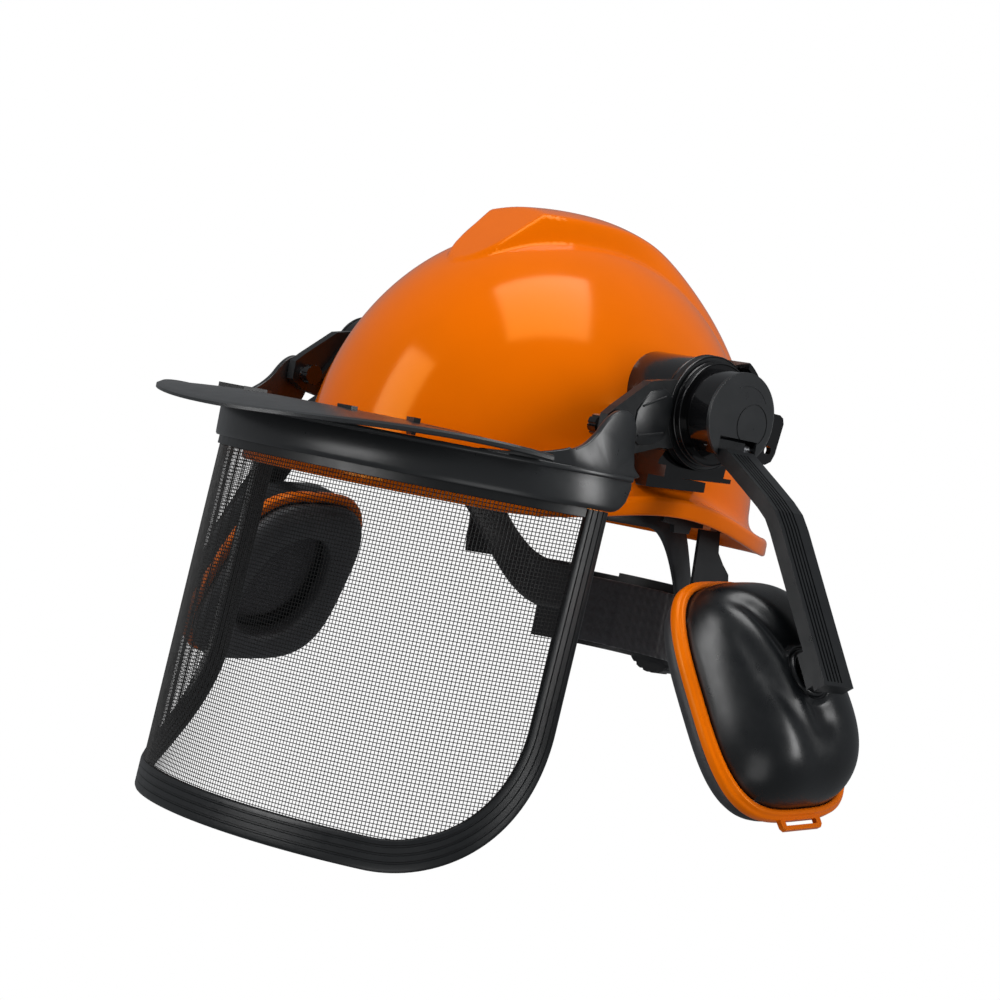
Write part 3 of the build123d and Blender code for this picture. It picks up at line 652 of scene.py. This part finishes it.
def build_ears():
    outline = [(-121, 9.0), (-116, 10.4), (-108, 11.8), (-100, 14.2), (-92, 17.4),
               (-85, 21.6), (-79.5, 27.0), (-75.8, 32.4), (-72.4, 36.3),
               (-68.6, 38.8), (-64.6, 39.5), (-60.8, 38.6), (-57.6, 35.8),
               (-55.9, 31.5), (-55.2, 24), (-56.0, 15), (-57.6, 9.2)]
    loop = smooth_loop(outline)
    ear = plate_x("visor_ear_left", loop, ear_outer_x, 3.4)
    twin = mirrored(ear, "visor_ear_right")
    for piece in (ear, twin):
        flat_shade_by_angle(piece, 45)
        fit_out(piece, "visor", GREY, "satin_black")


build_carrier()
build_ears()


# ---------------------------------------------------------------- peak
def peak_height(x, y):
    k = 1 - (x / 437.7) ** 2 - ((y + 130.0) / 183.9) ** 2
    return -82.3 + 100.0 * sqrt(max(k, 0.0))


def peak_row(share, across):
    """Top and underside points across the plate, from its inner edge out."""
    ends = []
    for (half, reach), start_y in ((PEAK_OUT, 107.0), (PEAK_IN, 105.0)):
        start = np.arcsin((BAND_Y + start_y) / reach)
        turn = start + (pi - 2 * start) * share
        ends.append(np.array([half * cos(turn), BAND_Y - reach * sin(turn)]))
    outer, inner = ends
    width = np.linalg.norm(outer - inner)
    top, low = [], []
    for j in range(across + 1):
        g = j / across
        p = inner + (outer - inner) * g
        z = peak_height(*p)
        round_off = 0.9 * max(0.0, 1 - min(g, 1 - g) * width / 1.2) ** 2
        bead = 0.7 * smoothstep((3.0 - (1 - g) * width) / 1.2) if g > 0.5 else 0.0
        z_low = z - PEAK_THICK
        if hypot(p[0] / BAND_HALF, (p[1] - BAND_Y) / BAND_LEN) < 1.01:
            z = max(z, BAND_TOP + 0.3 + 1.6)
            z_low = max(z_low, BAND_TOP + 0.15)
        top.append((p[0], p[1], z - round_off + float(bead)))
        low.append((p[0], p[1], z_low + round_off * 0.8))
    return top, low


def edge_walls(rows, cols, hole):
    """Faces that join top and underside round the outside and the slots."""
    base = rows * cols
    loop = ([(0, j) for j in range(cols)] + [(i, cols - 1) for i in range(1, rows)]
            + [(rows - 1, j) for j in range(cols - 2, -1, -1)]
            + [(i, 0) for i in range(rows - 2, 0, -1)])
    edges = list(zip(loop, loop[1:] + loop[:1]))
    for i, j in hole:
        for (di, dj), edge in (((-1, 0), ((i, j), (i, j + 1))),
                               ((1, 0), ((i + 1, j), (i + 1, j + 1))),
                               ((0, -1), ((i, j), (i + 1, j))),
                               ((0, 1), ((i, j + 1), (i + 1, j + 1)))):
            if (i + di, j + dj) not in hole:
                edges.append(edge)
    corners = [(p[0] * cols + p[1], q[0] * cols + q[1]) for p, q in edges]
    return [(a, b, base + b, base + a) for a, b in corners]


def build_peak():
    """Crowned crescent with a rounded front bead and two long slots."""
    along, across = 168, 20
    rows, cols = along + 1, across + 1
    top, low = zip(*(peak_row(i / along, across) for i in range(rows)))
    verts = [p for layer in (top, low) for row in layer for p in row]
    slot_from, slot_to = 9, 34
    slots = [*range(slot_from, slot_to), *range(along - slot_to, along - slot_from)]
    hole = {(i, j) for j in (5, 6) for i in slots}
    faces = grid_faces(rows, cols, skip=hole)
    faces += [tuple(rows * cols + v for v in reversed(f)) for f in faces]
    faces += edge_walls(rows, cols, hole)
    peak = add_mesh("peak_plate", verts, faces)
    flat_shade_by_angle(peak, 40)
    return fit_out(peak, "visor", GREY, "satin_black", "peak")


build_peak()


# ---------------------------------------------------------------- mesh visor
def sheet_curve():
    """Plan line of the screen just inside the band, and its running length."""
    pts = np.array([band_curve(SHEET_INSET, pi * i / 800) for i in range(801)])
    run = np.concatenate([[0], np.cumsum(np.hypot(*np.diff(pts, axis=0).T))])
    return pts, run


CURVE, RUN = sheet_curve()
WIDTH = float(RUN[-1])
SHEET_TOP = BAND_TOP - BAND_H + 6.6
SHEET_LOW = BAND_TOP - BAND_H - SHEET_DROP
FALL = sin(radians(SHEET_TILT))


def sheet_point(s, z, off=0.0):
    inside = min(max(s, 1e-6), WIDTH - 1e-6)
    i = min(int(np.searchsorted(RUN, inside)), len(RUN) - 1)
    p, q = CURVE[i - 1], CURVE[i]
    f = (s - RUN[i - 1]) / (RUN[i] - RUN[i - 1])
    d = (q - p) / np.linalg.norm(q - p)
    base = p + (q - p) * f + np.array([-d[1], d[0]]) * off
    return (base[0], base[1] - (SHEET_TOP - z) * FALL, z)


def low_edge(s, grow):
    r = SHEET_R - grow
    left, right = grow + r, WIDTH - grow - r
    d = max(left - s, s - right, 0.0)
    return SHEET_LOW + SHEET_R - sqrt(max(0.0, r * r - d * d))


def side_edge(z, grow):
    r = SHEET_R - grow
    d = max(0.0, SHEET_LOW + SHEET_R - z)
    return grow + r - sqrt(max(0.0, r * r - d * d))


def wire_ring(p, u, v, r):
    return [tuple(p + r * (cos(a) * u + sin(a) * v))
            for a in (0, pi / 2, pi, 3 * pi / 2)]


def build_wire_mesh():
    """Square weave: straight upright wires and curved level wires."""
    verts, faces = [], []

    def tube(rings):
        base = len(verts)
        for ring in rings:
            verts.extend(ring)
        for k in range(len(rings) - 1):
            for j in range(4):
                a, b = base + k * 4 + j, base + k * 4 + (j + 1) % 4
                faces.append((a, b, b + 4, a + 4))

    up = int((WIDTH - 2 * HEM) / WIRE_PITCH)
    for i in range(up + 1):
        s = WIDTH / 2 + (i - up / 2) * WIRE_PITCH
        ends = [np.array(sheet_point(s, z, 0.16)) for z in
                (SHEET_TOP - 1, low_edge(s, HEM))]
        side = np.array(sheet_point(s + 0.5, SHEET_TOP - 1, 0.16)) - ends[0]
        u = side / np.linalg.norm(side)
        v = np.cross(u, (ends[1] - ends[0]) / np.linalg.norm(ends[1] - ends[0]))
        tube([wire_ring(p, u, v, WIRE_R) for p in ends])
    level = int((SHEET_TOP - SHEET_LOW - HEM) / WIRE_PITCH)
    for i in range(level):
        z = SHEET_TOP - 1 - (i + 0.5) * WIRE_PITCH
        s0 = side_edge(z, HEM)
        if z < SHEET_LOW + HEM:
            continue
        steps = 56
        rings = []
        for k in range(steps + 1):
            s = s0 + (WIDTH - 2 * s0) * k / steps
            p = np.array(sheet_point(s, z, -0.16))
            n = np.array(sheet_point(s, z, 0.84)) - p
            n /= np.linalg.norm(n)
            rings.append(wire_ring(p, n, np.array([0, FALL, 1.0]), WIRE_R))
        tube(rings)
    mesh = bpy.data.meshes.new("visor_wire")
    mesh.from_pydata([tuple(c * MM for c in v) for v in verts], [], faces)
    wire = bpy.data.objects.new("visor_wire", mesh)
    bpy.context.scene.collection.objects.link(wire)
    return fit_out(wire, "visor", WIRE, "mesh_black", "visor_mesh")


def rim_point(d, v):
    r = SHEET_R - v
    side = RIM_TOP - (SHEET_LOW + SHEET_R)
    arc = pi / 2 * SHEET_R
    flat = WIDTH - 2 * SHEET_R
    if d < side:
        return v, RIM_TOP - d
    if d < side + arc:
        t = (d - side) / SHEET_R
        return SHEET_R - r * cos(t), SHEET_LOW + SHEET_R - r * sin(t)
    if d < side + arc + flat:
        return SHEET_R + d - side - arc, SHEET_LOW + v
    if d < side + 2 * arc + flat:
        t = (d - side - arc - flat) / SHEET_R
        return WIDTH - SHEET_R + r * sin(t), SHEET_LOW + SHEET_R - r * cos(t)
    return WIDTH - v, SHEET_LOW + SHEET_R + d - side - 2 * arc - flat


RIM_TOP = BAND_TOP - BAND_H - 0.3
RIM_RUN = 2 * (RIM_TOP - SHEET_LOW - SHEET_R) + pi * SHEET_R + WIDTH - 2 * SHEET_R


def build_binding():
    """Folded strip round the free edge, with pressed grooves along it."""
    count = 220
    rings = []
    for i in range(count + 1):
        d = RIM_RUN * i / count
        share = min(1.0, min(d, RIM_RUN - d) / (RIM_RUN * 0.3))
        w = BIND_SIDE + (BIND_LOW - BIND_SIDE) * share
        face = [(0.0, 1.2), (0.06, 1.75), (0.12, 1.9)]
        for g in (0.3, 0.55, 0.8):
            face += [(g - 0.045, 1.9), (g - 0.02, 1.35), (g + 0.02, 1.35),
                     (g + 0.045, 1.9)]
        face += [(0.94, 1.85), (0.99, 1.6), (1.0, 1.2), (0.99, 0.4)]
        ring = [(-1.1 + (w + 1.1) * g, off) for g, off in face]
        ring += [(v, -off) for v, off in reversed(ring)]
        rings.append([sheet_point(*rim_point(d, v), off) for v, off in ring])
    strip = sweep("edge_binding_strip", rings)
    flat_shade_by_angle(strip, 50)
    return fit_out(strip, "visor", BINDING, "binding_black", "edge_binding")


build_wire_mesh()
build_binding()


# ---------------------------------------------------------------- ear muffs
CUP_TO_WORLD = (Matrix.Translation((PIN_X * MM, 0, PIN_Z * MM))
                @ Matrix.Rotation(radians(-OPEN), 4, "Y")
                @ Matrix.Translation((CUP_U * MM, CUP_Y * MM, CUP_W * MM))
                @ Matrix.Rotation(radians(CUP_LEAN), 4, "X"))


def cup_outline(hw, hl, n=3.3, count=96):
    pts = []
    for i in range(count):
        t = 2 * pi * i / count
        c, s = cos(t), sin(t)
        y = hw * abs(c) ** (2 / n) * (1 if c > 0 else -1)
        z = hl * abs(s) ** (2 / n) * (1 if s > 0 else -1)
        pts.append((y * (1 - CUP_SKEW * z / hl), z))
    return pts


def in_cup_frame(obj):
    obj.data.transform(CUP_TO_WORLD)
    return obj


def socket_seat():
    dy, dz = BALL_Y - CUP_Y, BALL_W - CUP_W
    a = radians(-CUP_LEAN)
    return (BALL_U - CUP_U, dy * cos(a) - dz * sin(a), dy * sin(a) + dz * cos(a))


VALLEYS = (
    (np.array([(-27, 47), (-18, 34), (-12, 20), (-6, 6), (-2, -10), (0, -24)],
              float), 3.4, 5.0, 8.0),
    (np.array([(-31, 26), (-28, 8), (-23, -8), (-16, -24), (-9, -38), (-4, -47)],
              float), 1.6, 3.5, 6.5),
)


def cup_height(y, z):
    hw, hl, n = CUP_HW - 4.4, CUP_HL - 4.4, 3.1
    yy = y / (1 - CUP_SKEW * z / CUP_HL)
    rho = ((abs(yy) / hw) ** n + (abs(z) / hl) ** n) ** (1 / n)
    rho = min(rho, 1.0)
    h = CUP_DEEP * (1 - rho ** 3.6) ** 0.52
    t = np.linspace(0, 5, 60)
    fade = float(smoothstep(np.array((1 - rho) / 0.34)))
    for line_pts, depth, start, end in VALLEYS:
        line = np.stack([np.interp(t, range(6), line_pts[:, k]) for k in (0, 1)], 1)
        dist = np.hypot(line[:, 0] - y, line[:, 1] - z)
        k = int(dist.argmin())
        width = start + (end - start) * k / 60
        h -= depth * fade * float(np.exp(-(dist[k] / width) ** 2))
    return h


def build_cup_shell():
    bx, by, bz = socket_seat()
    outline = cup_outline(CUP_HW - 4.6, CUP_HL - 4.6)
    count = len(outline)
    rings = []
    angles = [np.arctan2(z - bz, y - by) for y, z in outline]

    def circle(r):
        return [(by + r * cos(a), bz + r * sin(a)) for a in angles]

    for k in range(9):
        a = radians(12 + 9.0 * k)
        rings.append([(bx - 9.3 * cos(a), y, z) for y, z in circle(9.3 * sin(a))])
    rim_x = bx + 2.6
    for r, x in ((9.4, rim_x), (9.6, rim_x + 0.9), (10.2, rim_x + 1.3),
                 (11.0, rim_x + 1.1), (11.6, rim_x + 0.2), (12.0, rim_x - 0.6),
                 (12.6, rim_x - 0.6), (13.0, rim_x + 0.3), (13.8, rim_x + 0.5)):
        rings.append([(x, y, z) for y, z in circle(r)])
    rings.append([(cup_height(y, z) + 0.15, y, z) for y, z in circle(15.0)])
    inner = circle(15.8)
    steps = 34
    for i in range(steps + 1):
        f = i / steps
        g = 1 - (1 - f) ** 1.6
        ring = []
        for (y0, z0), (y1, z1) in zip(inner, outline):
            y, z = y0 + (y1 - y0) * g, z0 + (z1 - z0) * g
            x = cup_height(y, z) if i < steps else 0.0
            ring.append((max(x, 0.2), y, z))
        rings.append(ring)
    rings.append([(0.0, y, z) for y, z in cup_outline(CUP_HW - 6.8, CUP_HL - 6.8)])
    verts = [p for r in rings for p in r]
    faces = grid_faces(len(rings), count, wrap_cols=True)
    faces.append(tuple(range(count - 1, -1, -1)))
    cup = in_cup_frame(add_mesh("cup_shell_skin_left", verts, faces))
    flat_shade_by_angle(cup, 55)
    pair(cup, "cup_shell_skin", "cup", CUP, "cup_black", "cup_shell")


def build_cup_ring():
    profile = [(0.0, -4.4), (0.0, -1.6), (0.35, -0.9), (1.0, -0.5), (1.5, 0.2),
               (1.7, 1.0), (2.1, 1.4), (3.5, 1.4), (4.2, 1.0), (4.4, 0.2),
               (4.4, -4.8), (3.8, -5.0), (0.8, -5.0), (0.2, -4.8)]
    count = 144
    loops = [cup_outline(CUP_HW - d, CUP_HL - d, count=count) for d, _ in profile]
    rings = [[(profile[j][1], *loops[j][i]) for j in range(len(profile))]
             for i in range(count)]
    ring = sweep("cup_ring_hoop_left", rings, closed_path=True)
    in_cup_frame(ring)
    flat_shade_by_angle(ring, 50)
    lug_out = [(-14.5, 1.6), (-14.2, -3.2), (-12.6, -4.8), (12.6, -4.8),
               (14.2, -3.2), (14.5, 1.6)]
    lug_in = [(-11, -0.3), (-11, -2.5), (-10.9, -2.6), (10.9, -2.6), (11, -2.5),
              (11, -0.3)]
    verts = []
    for x in (-3.4, -0.9):
        for loop in (lug_out, lug_in):
            verts += [(x, y, z - CUP_HL) for y, z in loop]
    faces = []
    for i in range(6):
        n = (i + 1) % 6
        if i < 5:
            faces += [(i, n, 6 + n, 6 + i), (12 + i, 12 + n, 18 + n, 18 + i)]
            faces += [(i, n, 12 + n, 12 + i), (6 + i, 6 + n, 18 + n, 18 + i)]
        else:
            faces += [(5, 0, 12, 17), (11, 6, 18, 23), (0, 5, 11, 6),
                      (12, 17, 23, 18)]
    lug = in_cup_frame(add_mesh("cup_lug_left", verts, faces, smooth=False))
    soften(lug, 0.4)
    pair(ring, "cup_ring_hoop", "cup", RING_ORANGE, "ring_orange", "cup_ring")
    pair(lug, "cup_lug", "cup", RING_ORANGE, "ring_orange")


def cushion_rings(shrink):
    """Stuffed oval cushion, shell side to face, then back down the ear hole."""
    count = 96
    rings = []
    for x, d in ((-5.2, 5.6), (-6.5, 3.2), (-9.0, 2.3), (-12.0, 2.6), (-15.0, 4.6),
                 (-16.9, 8.6), (-17.2, 12.5)):
        rings.append([(x, *p) for p in cup_outline(CUP_HW - d - shrink,
                                                   CUP_HL - d - shrink,
                                                   count=count)])
    for x, d in ((-16.6, 3.5), (-14.5, 1.2), (-11.0, 0.4), (-7.5, 0.4), (-5.2, 0.8)):
        rings.append([(x, *p) for p in cup_outline(22.6 + d + shrink,
                                                   34.5 + d + shrink, 2.3,
                                                   count=count)])
    return rings


def build_cushion():
    rings = cushion_rings(0.6)
    count = len(rings[0])
    verts = [p for r in rings for p in r]
    faces = grid_faces(len(rings), count, wrap_rows=True, wrap_cols=True)
    pad = add_mesh("cup_cushion_soft_left", verts, faces)
    sub = pad.modifiers.new("sub", "SUBSURF")
    sub.levels = sub.render_levels = 1
    apply_modifiers(pad)
    inflate(pad, pressure=3.0, cap_mm=1.6, frames=16)
    in_cup_frame(pad)
    left, right = pair(pad, "cup_cushion_soft", "cup", CUSHION, "cushion_grey",
                       "cup_cushion")


build_cup_shell()
build_cup_ring()
build_cushion()


# ---------------------------------------------------------------- CAD nodes kept
def dress(node, material, edge):
    obj = NODES[node]
    for slot in obj.material_slots:
        slot.link = "OBJECT"
        slot.material = material
    if edge:
        soften(obj, edge, 35.0)


LOOKS = {
    "hub_base": (GLOSS, 0.6), "hub_axle": (STEEL, 0.3), "hub_nut": (STEEL, 0.3),
    "click_washer": (STEEL, 0.0), "visor_arm": (SATIN, 0.8),
    "tilt_pin": (STEEL, 0.2), "tilt_knob": (GLOSS, 0.4),
    "muff_drum": (GLOSS, 0.6), "drum_cap": (GREY, 0.4), "fold_pin": (STEEL, 0.2),
    "muff_arm": (SATIN, 0.5), "cup_carriage": (SATIN, 0.5), "swivel": (GLOSS, 0.4),
    "cup_backplate": (SATIN, 0.3),
    "nape_hanger": (HARNESS, 0.4),
}
for stem, (material, edge) in LOOKS.items():
    for side in SIDES:
        dress(f"{stem}_{side}", material, edge)
for node, material, edge in (
        ("peak_clips", SATIN, 0.4), ("visor_top_strip", BINDING, 0.3),
        ("nape_band", HARNESS, 0.6),
        ("harness_keys", HARNESS, 0.5),
        ("knob", HARNESS, 0.5), ("pinion", HARNESS, 0.0),
        ("rack_left", HARNESS, 0.0), ("rack_right", HARNESS, 0.0)):
    dress(node, material, edge)


# ---------------------------------------------------------------- soft goods
def soft_copy(name, node, body, material, slot, voxel, shrink, cap):
    """Rounded, slightly blown-up skin round the space of a CAD soft solid."""
    source = NODES[node]
    mesh = source.data.copy()
    mesh.transform(source.matrix_world)
    mesh.materials.clear()
    obj = bpy.data.objects.new(name, mesh)
    bpy.context.scene.collection.objects.link(obj)
    remesh = obj.modifiers.new("voxels", "REMESH")
    remesh.mode = "VOXEL"
    remesh.voxel_size = voxel * MM
    ease = obj.modifiers.new("ease", "SMOOTH")
    ease.factor = 0.5
    ease.iterations = 3
    apply_modifiers(obj)
    push = [v.co - v.normal * shrink * MM for v in obj.data.vertices]
    for vert, co in zip(obj.data.vertices, push):
        vert.co = co
    inflate(obj, pressure=4.0, cap_mm=cap, frames=12)
    round_up = obj.modifiers.new("sub", "SUBSURF")
    round_up.levels = round_up.render_levels = 1
    apply_modifiers(obj)
    fit_out(obj, body, material, slot, node)
    return obj


SOFT = (("nape_pad", "shell", TOWEL, "foam_grey", 2.0, 0.4, 0.9, 0.8),
        ("crown_pad", "shell", FOAM, "foam_grey", 1.6, 0.2, 0.6, 0.8),
        ("cup_foam_left", "cup_left", FOAM, "foam_grey", 2.5, 0.5, 0.8, 0.9),
        ("cup_foam_right", "cup_right", FOAM, "foam_grey", 2.5, 0.5, 0.8, 0.9))
for node, body, material, slot, voxel, shrink, cap, fill in SOFT:
    soft_copy("soft_" + node, node, body, material, slot, voxel, shrink, cap)


def build_crown_strap(name, node, turn, lift):
    """Webbing with thicker selvedges and a raised middle."""
    across = [(-10.0, 0.0), (-9.8, 0.62), (-9.0, 0.75), (-8.2, 0.5), (-4.2, 0.42),
              (-3.8, 0.58), (3.8, 0.58), (4.2, 0.42), (8.2, 0.5), (9.0, 0.75),
              (9.8, 0.62), (10.0, 0.0)]
    ring = across + [(w, -h) for w, h in across[-2:0:-1]]
    count, a = 96, radians(turn)
    line = []
    for i in range(count + 1):
        t = pi * i / count
        top = STRAP_TOP + lift
        z = -2.0 + (top + 2.0) * max(0.0, sin(t)) ** 0.82
        line.append((STRAP_REACH * cos(t), z))
    rings = []
    for i in range(count + 1):
        p, q = line[max(0, i - 1)], line[min(count, i + 1)]
        m = hypot(q[0] - p[0], q[1] - p[1])
        nx, nz = -(q[1] - p[1]) / m, (q[0] - p[0]) / m
        rings.append([((line[i][0] + nx * h) * cos(a) - w * sin(a),
                       (line[i][0] + nx * h) * sin(a) + w * cos(a),
                       line[i][1] + nz * h) for w, h in ring])
    strap = sweep(name, rings)
    flat_shade_by_angle(strap, 60)
    fit_out(strap, "shell", WEBBING, "webbing", node)


def head_point(turn, half_x, half_y):
    """Point of the head oval in plan direction turn; -90 is the front."""
    c, q = cos(radians(turn)), sin(radians(turn))
    return half_x * c, HEAD_CY + half_y * q


def head_strip(name, turns, half_x, half_y, thick, edges, bow=0.0):
    """Band round the head whose lower and upper edge follow edges(y)."""
    rings = []
    for turn in turns:
        x, y = head_point(turn, half_x, half_y)
        xi, yi = head_point(turn, half_x - thick, half_y - thick)
        low, high = edges(y)
        heights = [low + (high - low) * i / 8 for i in range(9)]
        m = hypot(xi, yi)
        ring = [(x, y, z) for z in heights]
        for i in range(8, -1, -1):
            swell = bow * sin(pi * i / 8) / m
            ring.append((xi - xi * swell, yi - yi * swell, heights[i]))
        rings.append(ring)
    return sweep(name, rings)


def band_edges(y):
    """The band sits up inside the rim in front and dives to the nape behind."""
    down = smoothstep((y - 12.0) / 66.0)
    return -13.0 - 55.0 * down, 8.0 - 50.0 * down ** 1.3


def build_headband():
    turns = [-90 + 0.5 * (i - 300) for i in range(601)]
    band = head_strip("head_band", turns, 80.0, 99.0, 1.8, band_edges)
    soften(band, 0.4, 50)
    fit_out(band, "shell", HARNESS, "harness_black", "headband")


def build_sweatband():
    turns = [-90 + 1.0 * (i - 80) for i in range(161)]
    pad = head_strip("sweat_pad", turns, 77.9, 96.9, 1.6,
                     lambda y: (-12.0, 7.0), bow=0.6)
    inflate(pad, pressure=2.0, cap_mm=0.4, frames=10)
    flat_shade_by_angle(pad, 60)
    fit_out(pad, "shell", TOWEL, "sweat_cloth", "sweatband")


build_headband()
build_sweatband()
build_crown_strap("crown_webbing_a", "crown_strap_a", STRAP_ANGLE, 0.0)
build_crown_strap("crown_webbing_b", "crown_strap_b", -STRAP_ANGLE, 2.8)


# ---------------------------------------------------------------- hub details
def bead(name, x, radius, thick, y=HUB_Y, z=HUB_Z, start=0.0, end=360.0, count=96):
    """Round bead about an X axis, whole or part of a turn."""
    whole = end - start >= 360.0
    rings = []
    steps = count if whole else count + 1
    for i in range(steps):
        a = radians(start + (end - start) * i / count)
        rings.append([(x + thick * cos(b), y + (radius + thick * sin(b)) * cos(a),
                       z + (radius + thick * sin(b)) * sin(a))
                      for b in (2 * pi * k / 8 for k in range(8))])
    return sweep(name, rings, closed_path=whole)


def build_hub_details():
    pair(bead("drum_bead_left", 122.9, 24.9, 0.55), "drum_bead", "muff_drum",
         GLOSS, "gloss_black")
    pair(bead("drum_edge_left", 126.0, 24.4, 0.5), "drum_edge", "muff_drum",
         GLOSS, "gloss_black")
    pair(bead("ring_bead_left", 117.0, 27.3, 0.6), "ring_bead", "visor_arm",
         GLOSS, "gloss_black")
    pair(bead("ring_edge_left", 121.2, 27.2, 0.55), "ring_edge", "visor_arm",
         GLOSS, "gloss_black")
    pair(bead("cap_edge_left", 142.6, 21.7, 0.45), "cap_edge", "muff_drum",
         GREY, "satin_black")
    pair(bead("cap_arc_left", 143.0, 15.0, 0.22, y=HUB_Y + 2, z=HUB_Z + 1,
              start=35.0, end=118.0, count=36), "cap_arc", "muff_drum",
         GREY, "satin_black")


def build_arm_panels():
    """Raised panel with two ribs on the outer face of each visor arm."""
    face = 121.6 + 0.75
    outline = [(-54, 28.0), (-53.8, 41.0), (-47.5, 50.8), (-38.5, 53.8),
               (-33.5, 51.5), (-31.5, 46.0), (-31.5, 38.0), (-33.5, 31.0),
               (-39.0, 27.0), (-49.0, 25.0)]
    panel = plate_x("arm_panel_left", outline, lambda y, z: face, 1.2, rim=0.5)
    pair(panel, "arm_panel", "visor_arm", SATIN, "satin_black")
    for k, (p, q) in enumerate((((-51, 43.5), (-37, 50.0)), ((-51, 29.5),
                                                            (-35, 33.0)))):
        dy, dz = q[0] - p[0], q[1] - p[1]
        m = hypot(dy, dz)
        ny, nz = -dz / m * 0.55, dy / m * 0.55
        box = [(p[0] + ny, p[1] + nz), (q[0] + ny, q[1] + nz),
               (q[0] - ny, q[1] - nz), (p[0] - ny, p[1] - nz)]
        rib = plate_x(f"arm_rib_{k}_left", box, lambda y, z: face + 0.45, 0.8,
                      rim=0.2)
        pair(rib, f"arm_rib_{k}", "visor_arm", SATIN, "satin_black")


build_hub_details()
build_arm_panels()


# ---------------------------------------------------------------- studio
CAM_AROUND, CAM_ABOVE, CAM_ROLL = 47.7977, 0.9443, 10.8767
CAM_PLACE, CAM_LENS = (1.07486, -0.99192, 0.00993), 103.35


def emission_white(name, strength):
    mat = bpy.data.materials.new(name)
    mat.use_nodes = True
    shader = mat.node_tree.nodes["Principled BSDF"]
    shader.inputs["Base Color"].default_value = (0, 0, 0, 1)
    shader.inputs["Specular IOR Level"].default_value = 0.0
    shader.inputs["Emission Color"].default_value = (1, 1, 1, 1)
    shader.inputs["Emission Strength"].default_value = strength
    return mat


def build_stage():
    bpy.ops.mesh.primitive_plane_add(size=6, location=(0, 0, -4.0))
    floor = bpy.context.object
    floor.name = "studio_floor"
    bpy.ops.mesh.primitive_uv_sphere_add(segments=48, ring_count=24, radius=9)
    surround = bpy.context.object
    surround.name = "studio_surround"
    white = emission_white("studio_white", 1.0)
    for obj in (floor, surround):
        obj.data.materials.append(white)
        for ray in ("glossy", "diffuse", "shadow", "transmission"):
            setattr(obj, "visible_" + ray, False)
    world = bpy.data.worlds.new("studio")
    bpy.context.scene.world = world
    world.use_nodes = True
    sky = world.node_tree.nodes["Background"]
    sky.inputs["Color"].default_value = (0.93, 0.96, 1.0, 1)
    sky.inputs["Strength"].default_value = 0.2


def softbox(name, place, size, power, aim=(0, 0, 0), size_y=None):
    light = bpy.data.lights.new(name, "AREA")
    light.shape = "RECTANGLE"
    light.size = size
    light.size_y = size_y or size
    light.energy = power
    obj = bpy.data.objects.new(name, light)
    bpy.context.scene.collection.objects.link(obj)
    obj.location = place
    obj.rotation_euler = (Vector(aim) - Vector(place)).to_track_quat(
        "-Z", "Y").to_euler()
    return obj


def build_camera():
    """Long lens from the wearer's left front, nearly level and rolled."""
    data = bpy.data.cameras.new("camera")
    data.lens = CAM_LENS
    data.sensor_width = 36.0
    data.clip_start = 0.05
    data.clip_end = 50.0
    cam = bpy.data.objects.new("camera", data)
    bpy.context.scene.collection.objects.link(cam)
    around, above = radians(CAM_AROUND), radians(CAM_ABOVE)
    back = Vector((cos(above) * sin(around), -cos(above) * cos(around), sin(above)))
    level = Vector((cos(around), sin(around), 0.0))
    right = level * cos(radians(CAM_ROLL)) + back.cross(level) * sin(radians(CAM_ROLL))
    basis = Matrix((right, back.cross(right), back)).transposed().to_4x4()
    cam.matrix_world = Matrix.Translation(CAM_PLACE) @ basis
    bpy.context.scene.camera = cam


build_stage()
build_camera()
softbox("front", (-0.8, -2.3, 0.8), 1.1, 34, (0, 0, 0.0), 1.9)
softbox("side", (2.4, 0.7, 0.6), 0.7, 30, (0.1, 0, 0), 1.6)
softbox("top", (0.5, -0.2, 2.3), 1.5, 36, (0, 0, 0.0))
softbox("low", (1.3, -1.6, -1.3), 1.4, 8, (0, 0, 0))
bpy.context.scene.view_settings.view_transform = "Standard"
